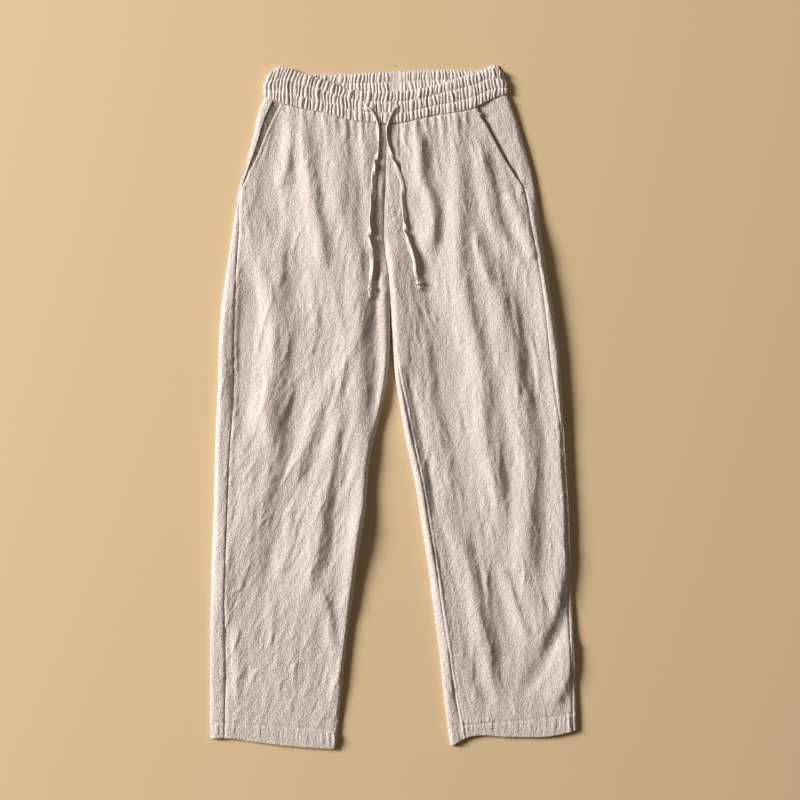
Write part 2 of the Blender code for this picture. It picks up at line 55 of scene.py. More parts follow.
# outlines: (down, across) in squares
OUTER_R = [(97, 265), (104, 262), (112, 259), (124, 256), (130, 255), (150, 250), (170, 245), (190, 240),
           (210, 236), (230, 233), (250, 230), (270, 227), (290, 224), (310, 221.5), (350, 219), (390, 218),
           (430, 216), (470, 215), (510, 214), (550, 212.3), (590, 211.4), (630, 210.6), (690, 210.4), (740, 210.4)]
OUTER_L = [(94, 506.5), (104, 511), (126, 518.3), (147, 524.8), (170, 531.3), (196, 536.2),
           (230, 541), (250, 544), (270, 547), (290, 550.2), (310, 553.5), (330, 556.5), (350, 559),
           (370, 560.5), (390, 562), (410, 563), (450, 564), (490, 566.5), (530, 568.5), (570, 570.3), (610, 572.3),
           (650, 574.2), (690, 575.4), (728, 576.8), (740, 577)]
INNER_R = [(100, 387.3), (124, 387), (180, 385.5), (222, 384.2), (251, 384.9), (277, 389), (290, 389.6),
           (300, 389.9), (335, 390.4),
           (356, 389.4), (374, 387.6), (392, 385), (405, 382.3), (420, 379), (450, 372), (470, 368.5), (490, 367.2),
           (510, 365.8), (550, 359.5), (590, 354), (630, 348.3), (670, 344), (710, 340.3), (750, 336)]
INNER_L = [(100, 387.3), (124, 387), (180, 385.5), (222, 384.2), (251, 384.9), (277, 389), (290, 389.6),
           (300, 390), (335, 391.6),
           (351, 393), (374, 394.8), (392, 397.3), (407, 400), (430, 403.8), (450, 408), (490, 416), (530, 422.3),
           (570, 428.5), (610, 433.5), (650, 439), (690, 443), (730, 448), (750, 451)]
SIDE_R = [(98, 275), (104, 272.5), (123, 264), (135, 260.3), (152, 255), (168, 248.8), (191, 241), (230, 239.6),
          (278, 236.3), (306, 235.6), (334, 234.6), (390, 234.2), (457, 230.2), (510, 228.2), (564, 226.2),
          (599, 225.2), (624, 225.4), (675, 226), (740, 225)]
SIDE_L = [(96, 493.2), (101.4, 495.3), (111.5, 500.3), (126, 504.6), (140, 509), (152, 512), (170, 518.6),
          (191, 524.6), (230, 531.5), (270, 538.6),
          (303, 543.5), (334, 547), (367, 550.5), (403, 556), (427, 559.5), (450, 561), (477, 562.6), (501, 564.4),
          (540, 566), (600, 568), (660, 570.5), (740, 573)]
OPENING_R = [(98, 284), (104, 281.1), (124, 271), (145, 262.4), (158, 257.3), (168.4, 252), (191, 241)]
OPENING_L = [(98, 471.5), (108.2, 476.5), (116.5, 479.8), (125, 485.5), (141, 493.8), (155.4, 501.7), (166, 508),
             (177, 515.3), (191, 524.6)]
POCKET_END = 191.0
INSEAM_SET_L = [(290, 0.0), (322, 0.0), (345, 2.0), (370, 4.6), (393, 6.0), (470, 7.5), (600, 8.5), (650, 9.6),
                (740, 13.5)]

# band edges: (across, down)
RIM_FRONT = [(267, 76), (281, 68.8), (300, 74.2), (315, 78.5), (329, 83), (348, 90.3), (358, 92), (390, 92.8),
             (410, 92), (432, 87.7), (456, 80.2), (475, 74.6), (490, 69.5), (505, 75)]
BAND_SEAM = [(265, 97.4), (281, 103.5), (304, 109.5), (326, 113.5), (348, 120.2), (371, 123.3), (388, 124.3),
             (400, 123.8), (415, 120.7), (436, 115.6), (454, 113.2), (476, 108), (488, 101.8), (507, 94.6)]
RIM_BACK = [(267, 76), (279, 67.6), (290, 71.8), (304, 74.6), (342, 75.2), (380, 73.6), (400, 72.2), (460, 71),
            (485, 70.2), (496, 65.8), (505, 75)]
BACK_SEAM = [(265, 97.4), (386, 105), (507, 94.6)]
HEM_R = [(205, 738.6), (226, 737), (256, 741), (281, 744), (317, 747), (333, 748), (342, 748)]
HEM_L = [(440, 745), (452, 744.5), (465, 737.4), (512, 736), (551, 735), (568, 731.5), (577, 728.8), (585, 728)]

# ------------------------------------------------------------- the folds
# height mm, width left, width right, crest line (across, down) in squares
FOLDS = [
    # right half, hip to knee
    ("side ridge", 3.0, 7, 13, [(237, 262), (230, 305), (225, 345), (222, 400), (221, 440), (220, 500), (221, 580), (219, 640)]),
    ("thigh ridge", 4.6, 10, 17, [(246, 196), (251, 230), (258, 260), (269, 296), (276, 335), (273, 380), (270, 420),
                                 (276, 455), (268, 500), (261, 545)]),
    ("thin thigh ridge", 1.6, 4, 5, [(284, 225), (284, 255), (279, 285)]),
    ("pocket ridge", 2.6, 6, 5, [(289, 118), (290, 140), (287, 165), (281, 190)]),
    ("hip ridge", 4.6, 9, 8, [(304, 122), (306, 150), (309, 178), (313, 205), (321, 240), (324, 275)]),
    ("long ridge", 6.2, 15, 14, [(335, 120), (337, 150), (342, 182), (346, 210), (354, 240), (359, 270), (361, 300),
                                (358, 340), (361, 380), (360, 420), (364, 455), (365, 495), (358, 540), (349, 600)]),
    ("knee ridge", 4.2, 9, 7, [(350, 345), (341, 380), (337, 420), (333, 460), (325, 500), (319, 540), (309, 585)]),
    ("string ridge", 2.4, 7, 12, [(361, 128), (364, 160), (369, 200), (372, 235), (374, 262)]),
    ("crotch ridge", 3.6, 5, 6, [(382, 262), (384, 290), (385, 330), (385, 380), (378, 425)]),
    ("crotch trough", -1.6, 7, 6, [(384, 236), (380, 262), (375, 300), (375, 340), (374, 380), (372, 415)]),
    ("cross ridge", 3.4, 11, 6, [(331, 372), (321, 404), (311, 432), (301, 458), (296, 485)]),
    ("shin ridge", 2.6, 7, 6, [(294, 500), (288, 540), (281, 575)]),
    ("pocket trough", -3.4, 8, 10, [(281, 116), (272, 160), (269, 205)]),
    ("thigh trough", -2.6, 9, 10, [(276, 205), (292, 250), (297, 285), (296, 310)]),
    ("outer trough", -2.6, 9, 8, [(255, 290), (248, 335), (244, 380), (244, 430)]),
    ("calf ridge", 2.6, 7, 5, [(322, 590), (331, 620), (334, 650)]),
    ("edge ridge", 2.6, 7, 6, [(362, 500), (352, 570), (347, 620), (341, 665), (337, 705)]),
    ("hem fold", -1.4, 4, 4, [(226, 618), (229, 640), (229, 662), (224, 700)]),
    ("hem fold ridge", 1.3, 4, 6, [(233, 628), (237, 660), (238, 700)]),
    # left half
    ("fly ridge", 6.0, 9, 7, [(417, 126), (420, 150), (422, 175), (431, 205), (432, 232), (428, 256)]),
    ("fly trough", -2.6, 6, 6, [(404, 205), (412, 235), (424, 268), (432, 300)]),
    ("long ridge", 5.2, 10, 10, [(454, 120), (457, 150), (458, 180), (458, 215), (457, 255), (461, 290), (469, 322),
                                (475, 348), (480, 378), (481, 405), (483, 432), (489, 462), (497, 492), (500, 545)]),
    ("hip ridge", 4.4, 9, 7, [(479, 145), (484, 168), (489, 195), (494, 220), (504, 240), (516, 262)]),
    ("small hip ridge", 2.2, 4, 6, [(474, 232), (481, 258), (488, 285)]),
    ("thigh ridge", 5.4, 12, 11, [(488, 270), (498, 296), (504, 322), (510, 350), (518, 385), (526, 420),
                                (530, 455), (529, 490), (526, 530), (526, 590)]),
    ("pocket end ridge", 4.0, 7, 6, [(508, 190), (518, 215), (526, 240), (532, 265)]),
    ("side ridge", 6.0, 14, 6, [(528, 205), (536, 240), (544, 285), (553, 330), (559, 372), (561, 420), (563, 470),
                                (565, 525), (562, 575), (553, 615), (542, 640)]),
    ("crotch trough", -2.2, 15, 12, [(424, 250), (430, 290), (444, 335), (450, 372), (455, 410)]),
    ("crotch ridge", 5.0, 5, 17, [(388, 236), (393, 262), (397, 300), (399, 350), (401, 385)]),
    ("inseam ridge", 3.4, 5, 5, [(400, 372), (406, 420), (417, 462), (424, 500), (430, 540), (439, 590), (446, 630), (449, 690)]),
    ("inseam trough", -1.8, 4, 5, [(408, 372), (416, 410), (427, 460), (434, 500), (446, 540), (452, 580)]),
    ("inner ridge", 3.2, 9, 9, [(425, 330), (427, 365), (431, 400), (437, 430), (446, 465), (458, 502)]),
    ("knee trough", -1.6, 7, 6, [(497, 380), (505, 420), (510, 460), (508, 500)]),
    ("calf trough", -2.6, 9, 9, [(450, 560), (460, 605), (469, 645), (481, 680), (495, 714)]),
    ("calf ridge", 3.2, 8, 7, [(455, 525), (468, 560), (478, 610), (487, 650), (494, 700)]),
    ("shin ridge", 3.0, 7, 5, [(500, 560), (513, 600), (528, 640)]),
    ("hem trough", -3.6, 8, 6, [(563, 622), (552, 645), (541, 668), (526, 690)]),
    ("hem ridge", 4.0, 12, 6, [(572, 636), (567, 672), (553, 706)]),
]

# folds let out of the band: height mm, left, right, down (squares), x, lean
GATHERS = [
    (1.3, 2.2, 2.6, 22, 291, 1), (1.6, 2.6, 2.4, 34, 303, 2), (1.2, 1.8, 2.2, 20, 313, 2), (2.6, 2.6, 3.2, 46, 325, 4),
    (2.2, 2.4, 2.4, 30, 334, 3), (2.9, 3.0, 3.0, 58, 345, 4), (1.8, 2.0, 2.2, 24, 353, 2), (2.8, 2.6, 2.8, 44, 361, 2),
    (1.5, 1.8, 1.8, 20, 369, 1), (1.6, 1.8, 2.2, 26, 383, 0), (1.3, 1.8, 1.6, 18, 394, 0), (2.6, 2.2, 2.4, 40, 405, 0),
    (3.0, 2.4, 2.8, 52, 415, 3), (2.4, 2.2, 2.6, 34, 425, 4), (1.6, 2.0, 1.8, 24, 433, 2), (3.0, 2.8, 3.0, 60, 441, 5),
    (1.8, 2.0, 2.4, 26, 448, 3), (2.6, 3.0, 2.6, 48, 456, 3), (1.4, 2.2, 2.2, 24, 465, 2), (1.1, 2.2, 2.0, 18, 474, 1),
]

# rows of stitching draw the cloth in
GROOVES = [
    [(212, 721), (225.5, 721.4), (256, 724.5), (289, 726), (336, 729)],
    [(448.5, 724.5), (464, 724), (490, 722), (515, 720), (546, 716.5), (577, 712)],
    [(399.5, 124), (399.8, 160), (399.5, 195), (398.6, 209), (396, 217), (390, 219.4), (386, 217)],
]

# cloth bunched up at the hem corners: height mm, half width, line
BUNCHES = [
    (1.5, 1.6, [(450.5, 716), (452, 730), (453.5, 744)]), (1.3, 1.4, [(455.5, 722), (456.5, 732), (457.5, 743)]),
    (1.7, 1.8, [(461, 714), (462.5, 727), (463.5, 738)]), (1.6, 1.8, [(333, 730), (335, 739), (336.5, 747)]),
    (1.1, 1.3, [(328, 728), (328.5, 738), (329, 746)]), (1.0, 1.5, [(217, 722), (217.5, 731), (218, 738)]),
    (1.2, 1.6, [(568, 713), (569, 722), (570, 730)]),
]

# long soft swells of the whole cloth: height mm, left, right, line
SWELLS = [
    (2.6, 22, 26, [(318, 150), (322, 230), (334, 300), (346, 360)]),
    (-2.4, 18, 14, [(258, 150), (262, 220), (250, 300), (246, 380), (244, 470)]),
    (2.4, 20, 18, [(262, 340), (262, 430), (252, 520), (244, 600)]),
    (-2.4, 14, 16, [(292, 330), (296, 400), (282, 470), (270, 560), (262, 640)]),
    (2.2, 18, 16, [(318, 470), (312, 560), (310, 650)]),
    (2.6, 20, 24, [(462, 140), (468, 220), (480, 300), (498, 380), (508, 460), (512, 540)]),
    (-1.8, 16, 18, [(420, 280), (436, 360), (448, 440), (462, 520), (470, 600)]),
    (2.2, 16, 18, [(520, 480), (530, 580), (540, 660)]),
    (-2.0, 12, 14, [(500, 540), (505, 620), (512, 690)]),
    (2.2, 14, 20, [(436, 470), (450, 540), (462, 620), (470, 700)]),
]


# --------------------------------------------------------------- helpers
def curve(table, at):
    """Smooth curve through a two-column table, flat beyond its ends."""
    t = np.array([row[0] for row in table], float)
    v = np.array([row[1] for row in table], float)
    slope = np.gradient(v, t)
    at = np.clip(np.asarray(at, float), t[0], t[-1])
    i = np.clip(np.searchsorted(t, at, side="right") - 1, 0, len(t) - 2)
    h = t[i + 1] - t[i]
    u = (at - t[i]) / h
    return ((1 + 2 * u) * (1 - u) ** 2 * v[i] + u * (1 - u) ** 2 * h * slope[i]
            + u * u * (3 - 2 * u) * v[i + 1] + u * u * (u - 1) * h * slope[i + 1])


def seam_y(table, x):
    if table is BACK_SEAM:
        return np.interp(x, [row[0] for row in table], [row[1] for row in table])
    return curve(table, x)


def ease(lo, hi, x):
    u = np.clip((np.asarray(x, float) - lo) / (hi - lo), 0, 1)
    return u * u * (3 - 2 * u)


def smooth_path(points, spacing=3.0):
    p = np.array(points, float)
    along = np.concatenate([[0], np.cumsum(np.linalg.norm(np.diff(p[:, :2], axis=0), axis=1))])
    s = np.linspace(0, along[-1], max(3, int(along[-1] / spacing) + 1))
    return np.stack([curve(list(zip(along, p[:, k])), s) for k in range(p.shape[1])], axis=1)


GX = np.arange(AREA[0], AREA[1] + 0.01, GRID)
GY = np.arange(AREA[2], AREA[3] + 0.01, GRID)


def stroke(field, points, height, left, right, fade=0.14, sharp=2.0, floor=0.3, head=None):
    """Lays one fold, ridge or groove on the relief along a line."""
    head = fade if head is None else head
    path = smooth_path(points)
    reach = 2.6 * max(left, right)
    c0 = np.searchsorted(GX, path[:, 0].min() - reach)
    c1 = np.searchsorted(GX, path[:, 0].max() + reach)
    r0 = np.searchsorted(GY, path[:, 1].min() - reach)
    r1 = np.searchsorted(GY, path[:, 1].max() + reach)
    if c1 <= c0 or r1 <= r0:
        return
    x, y = np.meshgrid(GX[c0:c1], GY[r0:r1])
    best = np.full(x.shape, 1e9)
    side = np.zeros(x.shape)
    share = np.zeros(x.shape)
    n = len(path) - 1
    for k in range(n):
        (ax, ay), (bx, by) = path[k], path[k + 1]
        dx, dy = bx - ax, by - ay
        ll = dx * dx + dy * dy
        # rows and columns that this short run can reach
        q0 = max(0, int((min(ay, by) - reach - GY[r0]) / GRID))
        q1 = int((max(ay, by) + reach - GY[r0]) / GRID) + 2
        p0 = max(0, int((min(ax, bx) - reach - GX[c0]) / GRID))
        p1 = int((max(ax, bx) + reach - GX[c0]) / GRID) + 2
        xs, ys = x[q0:q1, p0:p1], y[q0:q1, p0:p1]
        u = np.clip(((xs - ax) * dx + (ys - ay) * dy) / ll, 0, 1)
        qx, qy = xs - (ax + u * dx), ys - (ay + u * dy)
        d = np.hypot(qx, qy)
        old = best[q0:q1, p0:p1]
        hit = d < old
        best[q0:q1, p0:p1] = np.where(hit, d, old)
        turn = (qx * dy - qy * dx) / (math.sqrt(ll) * np.maximum(d, 1e-6))
        side[q0:q1, p0:p1] = np.where(hit, turn, side[q0:q1, p0:p1])
        share[q0:q1, p0:p1] = np.where(hit, (k + u) / n, share[q0:q1, p0:p1])
    w = left + (right - left) * ease(-1, 1, side)
    shape = np.exp(-np.minimum(best / w, 8) ** sharp) * (best < 1e8)
    ends = floor + (1 - floor) * ease(0, max(head, 1e-4), share) * ease(1.0, 1 - fade, share)
    field[r0:r1, c0:c1] += height * shape * ends


def grain(seed, across, along, lean=0.0):
    """Even noise of about one unit, stretched along the leg, on the grid."""
    rng = np.random.default_rng(seed)
    base = rng.standard_normal((len(GY), len(GX)))
    fy = np.fft.fftfreq(len(GY), GRID)[:, None]
    fx = np.fft.fftfreq(len(GX), GRID)[None, :]
    fu = fx
    fv = fy + lean * fx
    wide = np.hypot(fu * across, fv * along)
    spec = np.fft.fft2(base) * (wide ** 1.2) * np.exp(-(wide / 0.55) ** 2)
    out = np.real(np.fft.ifft2(spec))
    return out / out.std()


def crinkles(field, seed, zone, count, lean, length, width, height):
    """Short uneven creases scattered over a zone (x0, x1, y0, y1)."""
    rng = np.random.default_rng(seed)
    for _ in range(count):
        x = rng.uniform(zone[0], zone[1])
        y = rng.uniform(zone[2], zone[3])
        run = rng.uniform(*length)
        tilt = lean + rng.normal(0, 0.16)
        bow = rng.normal(0, 0.07) * run
        pts = [(x - tilt * run / 2, y - run / 2), (x + bow, y), (x + tilt * run / 2, y + run / 2)]
        w = rng.uniform(*width)
        h = rng.uniform(*height) * (1 if rng.random() < 0.6 else -0.8)
        stroke(field, pts, h, w * rng.uniform(0.8, 1.3), w * rng.uniform(0.8, 1.3), fade=0.4, floor=0.0)


# long narrow creases: seed, count, zone (x0, x1, y0, y1), lean
CREASES = [
    (31, 34, (245, 385, 140, 320), 0.12), (32, 46, (235, 372, 320, 520), -0.34), (33, 34, (222, 345, 500, 720), -0.16),
    (34, 34, (400, 535, 140, 320), 0.24), (35, 44, (405, 560, 310, 520), 0.17), (36, 34, (440, 570, 500, 720), 0.13),
]


def long_creases(field):
    for seed, count, zone, lean in CREASES:
        rng = np.random.default_rng(seed)
        for _ in range(count):
            x, y = rng.uniform(zone[0], zone[1]), rng.uniform(zone[2], zone[3])
            run = rng.uniform(34, 105)
            tilt = lean + rng.normal(0, 0.09)
            bow = rng.normal(0, 3.0)
            pts = [(x - tilt * run / 2, y - run / 2), (x - tilt * run / 5 + bow, y - run / 5),
                   (x + tilt * run / 5 + bow * 0.6, y + run / 5), (x + tilt * run / 2, y + run / 2)]
            w = rng.uniform(2.0, 5.0)
            up = rng.uniform(0.4, 1.3) * (1 if rng.random() < 0.65 else -0.8)
            stroke(field, pts, up, w * rng.uniform(0.8, 1.8), w * rng.uniform(0.8, 1.3), fade=0.4, floor=0.0)


def leg_side(x, y):
    return np.where(x < 0.5 * (curve(INNER_R, y) + curve(INNER_L, y)), 0, 1)


def build_relief():
    """Height over the table of the laid front, mm, on the grid."""
    big = np.zeros((len(GY), len(GX)))
    for _, height, left, right, line in FOLDS:
        stroke(big, line, 1.32 * height, left, right)
    for height, left, right, line in SWELLS:
        stroke(big, line, 1.9 * height, left, right, fade=0.3, floor=0.0)
    for height, left, right, run, x0, lean in GATHERS:
        y0 = float(curve(BAND_SEAM, x0)) - 3
        stroke(big, [(x0, y0), (x0 + 0.35 * lean, y0 + run * 0.4), (x0 + lean, y0 + run)], height, left, right,
               fade=0.85, floor=0.0, head=0.0)
    rng = np.random.default_rng(14)
    x0 = 289.0
    while x0 < 480:
        y0 = float(curve(BAND_SEAM, x0)) - 3
        run, lean = rng.uniform(9, 24), rng.uniform(-1.5, 2.5)
        stroke(big, [(x0, y0), (x0 + 0.4 * lean, y0 + run * 0.4), (x0 + lean, y0 + run)], rng.uniform(0.6, 1.9),
               rng.uniform(0.9, 1.6), rng.uniform(0.9, 1.6), fade=0.8, floor=0.0, head=0.0)
        x0 += rng.uniform(3.2, 6.0)
    x, y = np.meshgrid(GX, GY)
    base = LOFT_HIP + (LOFT_LEG - LOFT_HIP) * ease(230, 420, y)
    fine = 0.17 * grain(11, 9.0, 30.0, -0.05) + 0.12 * grain(12, 4.4, 11.0, 0.06) + 0.10 * grain(13, 2.6, 4.5, 0.0)
    small = np.zeros_like(big)
    crinkles(small, 3, (225, 385, 125, 400), 200, -0.10, (12, 60), (1.1, 2.6), (0.3, 1.0))
    crinkles(small, 4, (222, 350, 330, 730), 330, -0.42, (10, 48), (1.1, 2.4), (0.28, 0.95))
    crinkles(small, 5, (392, 545, 125, 400), 200, 0.16, (12, 60), (1.1, 2.6), (0.3, 1.0))
    crinkles(small, 6, (405, 570, 380, 730), 330, 0.18, (10, 48), (1.1, 2.4), (0.28, 0.90))
    crinkles(small, 7, (222, 570, 130, 700), 110, 1.6, (4, 10), (1.0, 2.0), (0.2, 0.5))
    long_creases(small)
    sewn = np.zeros_like(big)
    for line in GROOVES:
        stroke(sewn, line, -1.15, 1.1, 1.1, fade=0.02, floor=0.0)
    for up, w, line in BUNCHES:
        stroke(sewn, line, up, w, w * 0.9, fade=0.3, floor=0.2)
    # the stitched hem puckers in short ribs between its stitching and fold
    rng = np.random.default_rng(8)
    for table, first, last, up in ((HEM_R, 212, 338, 18.5), (HEM_L, 449, 576, 19.0)):
        at = first
        while at < last:
            y1 = float(curve(table, at))
            tilt = rng.uniform(-1.5, 1.5)
            stroke(sewn, [(at, y1 - up - rng.uniform(-2, 5)), (at + tilt * 0.5, y1 - 9), (at + tilt, y1 - 2)],
                   rng.uniform(0.25, 1.15), rng.uniform(0.9, 1.5), rng.uniform(0.9, 1.5), fade=0.35, floor=0.0)
            at += rng.uniform(2.4, 5.6)
    hem_y = np.where(leg_side(x, y) == 0, curve(HEM_R, x), curve(HEM_L, x))
    calm = 0.80 + 0.20 * ease(0, 20, y - curve(BAND_SEAM, x))
    hem = 1 - 0.45 * ease(-38, -14, y - hem_y)
    z = base + (big + small) * calm * hem + fine * (0.7 + 0.3 * hem) + sewn
    low = 5.0 + (LOFT_LOW - 5.0) * ease(262, 300, y)
    return low + np.logaddexp(0, (z - low) / 0.7) * 0.7
# RELIEF END


# --------------------------------------------------------------- camera
VIEW_DISTANCE = 2.4
cam_data = bpy.data.cameras.new("camera")
cam_data.sensor_width = 36.0
cam_data.lens = 36.0 * VIEW_DISTANCE / 1.2       # 800 squares across the frame
cam_data.clip_start, cam_data.clip_end = 0.05, 50.0
camera = bpy.data.objects.new("camera", cam_data)
bpy.context.scene.collection.objects.link(camera)
camera.location = ((400.0 - MID_X) * SQ, (MID_Y - 400.0) * SQ, VIEW_DISTANCE)
bpy.context.scene.camera = camera


# -------------------------------------------------------------- the legs
def to_world(x, y, z_mm):
    return np.stack([(x - MID_X) * SQ, (MID_Y - y) * SQ, z_mm * MM], axis=-1)


def edge_round(d, r):
    u = np.clip(d / r, 0, 1)
    return np.sqrt(np.maximum(1 - (1 - u) ** 2, 0))


RELIEF = build_relief()


def relief(x, y):
    """The relief read between its grid points."""
    gx = np.clip((np.asarray(x, float) - AREA[0]) / GRID, 0, len(GX) - 1.001)
    gy = np.clip((np.asarray(y, float) - AREA[2]) / GRID, 0, len(GY) - 1.001)
    i, j = gx.astype(int), gy.astype(int)
    u, v = gx - i, gy - j
    return ((RELIEF[j, i] * (1 - u) + RELIEF[j, i + 1] * u) * (1 - v)
            + (RELIEF[j + 1, i] * (1 - u) + RELIEF[j + 1, i + 1] * u) * v)


class Leg:
    """One half of the trousers: outlines and the section at a row."""

    def __init__(self, side):
        right = side == "right"
        self.side = side
        self.sign = 1 if right else -1          # towards the centre line
        self.outer = OUTER_R if right else OUTER_L
        self.inner = INNER_R if right else INNER_L
        self.seam = SIDE_R if right else SIDE_L
        self.opening = OPENING_R if right else OPENING_L
        self.hem = HEM_R if right else HEM_L
        self.inset = None if right else INSEAM_SET_L

    def row_y(self, row, x, top=BAND_SEAM):
        y_top = seam_y(top, x)
        y_hem = curve(self.hem, x)
        y = 112.0 + 628.0 * row
        return y + (y_top - 112.0) * (1 - ease(0, 0.16, row)) + (y_hem - 740.0) * ease(0.84, 1.0, row)

    def at(self, table, rows):
        """Where an outline crosses each row."""
        x = curve(table, 112 + 628 * rows)
        for _ in range(14):
            x = 0.5 * x + 0.5 * curve(table, self.row_y(rows, x))
        return x

    def inseam(self, y):
        inset = 0.0 if self.inset is None else curve(self.inset, y)
        return curve(self.inner, y) - self.sign * (0.1 + inset)

    def top_z(self, x, y):
        """Outer surface of the upper cloth, rounded down at folded edges."""
        apart = ease(CROTCH_Y - 2, CROTCH_Y + 34, y)
        z = relief(x, y)
        z = EDGE_MID + (z - EDGE_MID) * edge_round(np.abs(x - curve(self.outer, y)), EDGE_TOP_R)
        inner = EDGE_MID + (z - EDGE_MID) * edge_round(np.abs(curve(self.inner, y) - x), EDGE_TOP_R * 0.8)
        z = z + (inner - z) * apart
        # seams lie in a small valley between two soft swells
        below = ease(POCKET_END - 6, POCKET_END + 2, y)
        d = np.abs(x - curve(self.seam, y))
        z = z - (1.1 * np.exp(-(d / 1.1) ** 2) - 0.35 * np.exp(-((d - 3.2) / 1.6) ** 2)) * below
        d = np.abs(x - curve(self.inner, y))
        z = z - 1.7 * np.exp(-(d / 1.7) ** 2) * (1 - apart)
        if self.inset is not None:
            on = ease(322, 350, y)
            d = self.inseam(y) - x
            z = z - (1.9 * np.exp(-(d / 1.1) ** 2) + 0.7 * np.exp(-((d + 3.6) / 0.9) ** 2)) * on
        return z

    def low_z(self, x, y):
        apart = ease(CROTCH_Y - 2, CROTCH_Y + 34, y)
        z = EDGE_MID * (1 - edge_round(np.abs(x - curve(self.outer, y)), EDGE_LOW_R))
        return z + EDGE_MID * (1 - edge_round(np.abs(curve(self.inner, y) - x), EDGE_LOW_R)) * apart


LEG_R, LEG_L = Leg("right"), Leg("left")
POCKET_ROW = (POCKET_END - 112.0) / 628.0


# ------------------------------------------------------------- materials
def node(tree, kind, at, **values):
    n = tree.nodes.new(kind)
    n.location = at
    for key, value in values.items():
        setattr(n, key, value)
    return n


def linen(name, light, dark, weave=1.0, sheen=0.18, turn=0.0):
    """Washed plain-weave linen: uneven threads both ways, slubs, soft nap."""
    mat = bpy.data.materials.new(name)
    mat.use_nodes = True
    tree = mat.node_tree
    tree.nodes.clear()
    out = node(tree, "ShaderNodeOutputMaterial", (1400, 0))
    shader = node(tree, "ShaderNodeBsdfPrincipled", (1100, 0))
    tree.links.new(shader.outputs["BSDF"], out.inputs["Surface"])
    shader.inputs["Roughness"].default_value = 0.88
    shader.inputs["Specular IOR Level"].default_value = 0.22
    shader.inputs["Sheen Weight"].default_value = sheen
    shader.inputs["Sheen Roughness"].default_value = 0.45
    shader.inputs["Sheen Tint"].default_value = (1.0, 0.95, 0.90, 1)
    coord = node(tree, "ShaderNodeTexCoord", (-1400, 0))
    heights, tones = [], []
    # (scale across, scale along, detail, height share, tone share)
    layers = [(1300.0, 260.0, 2.0, 0.40, 0.34), (280.0, 1200.0, 2.0, 0.34, 0.26), (540.0, 230.0, 3.0, 0.74, 0.38),
              (250.0, 500.0, 3.0, 0.60, 0.30), (24.0, 14.0, 4.0, 0.0, 0.22), (420.0, 330.0, 2.0, 0.85, 0.34)]
    for k, (sx, sy, detail, up, tone) in enumerate(layers):
        place = node(tree, "ShaderNodeMapping", (-1150, 300 - 220 * k))
        place.inputs["Scale"].default_value = (sx, sy, 160.0)
        place.inputs["Rotation"].default_value = (0, 0, turn)
        tex = node(tree, "ShaderNodeTexNoise", (-930, 300 - 220 * k))
        tex.inputs["Scale"].default_value = 1.0
        tex.inputs["Detail"].default_value = detail
        tex.inputs["Roughness"].default_value = 0.6
        tree.links.new(coord.outputs["Object"], place.inputs["Vector"])
        tree.links.new(place.outputs["Vector"], tex.inputs["Vector"])
        heights.append((tex.outputs["Fac"], up))
        tones.append((tex.outputs["Fac"], tone))

    def total(parts, x0, y0):
        last = None
        for k, (socket, share) in enumerate(parts):
            if share == 0:
                continue
            m = node(tree, "ShaderNodeMath", (x0 + 40 * k, y0), operation="MULTIPLY_ADD")
            m.inputs[1].default_value = share
            tree.links.new(socket, m.inputs[0])
            if last is None:
                m.inputs[2].default_value = 0.0
            else:
                tree.links.new(last, m.inputs[2])
            last = m.outputs[0]
        return last

    tone = total(tones, -600, -400)
    span = sum(share for _, share in tones)
    stretch = node(tree, "ShaderNodeMapRange", (0, -300))
    stretch.inputs["From Min"].default_value = span * 0.36
    stretch.inputs["From Max"].default_value = span * 0.62
    tree.links.new(tone, stretch.inputs["Value"])
    ramp = node(tree, "ShaderNodeValToRGB", (250, -200))
    ramp.color_ramp.elements[0].color = (*dark, 1)
    ramp.color_ramp.elements[1].color = (*light, 1)
    tree.links.new(stretch.outputs["Result"], ramp.inputs["Fac"])
    tree.links.new(ramp.outputs["Color"], shader.inputs["Base Color"])
    rough = node(tree, "ShaderNodeMapRange", (250, -500))
    rough.inputs["To Min"].default_value = 0.80
    rough.inputs["To Max"].default_value = 0.96
    tree.links.new(stretch.outputs["Result"], rough.inputs["Value"])
    tree.links.new(rough.outputs["Result"], shader.inputs["Roughness"])
    bump = node(tree, "ShaderNodeBump", (800, -600))
    bump.inputs["Strength"].default_value = 1.0 * weave
    bump.inputs["Distance"].default_value = 0.0021
    tree.links.new(total(heights, -600, -900), bump.inputs["Height"])
    tree.links.new(bump.outputs["Normal"], shader.inputs["Normal"])
    return mat


LIGHT, DARK = (0.87, 0.765, 0.705), (0.56, 0.470, 0.415)
LINEN_FRONT = linen("linen_front", LIGHT, DARK)
LINEN_BACK = linen("linen_back", LIGHT, DARK, turn=0.04)
LINEN_BAND = linen("linen_band", LIGHT, DARK, weave=0.45)
# the pocket piece gets a darker copy of the linen: painted shade for the facing strip that lies in shadow inside the
# opening
LINEN_POCKET_SHADED = linen("linen_pocket", (0.74, 0.65, 0.57), (0.57, 0.49, 0.42))
LINEN_TAPE = linen("linen_tape", (0.88, 0.78, 0.72), (0.62, 0.53, 0.47), weave=0.8)
THREAD = linen("sewing_thread", (0.58, 0.48, 0.40), (0.42, 0.34, 0.28), weave=0.5)
SLIT = linen("slit_shade", (0.20, 0.16, 0.13), (0.14, 0.11, 0.09), weave=0.5, sheen=0.0)


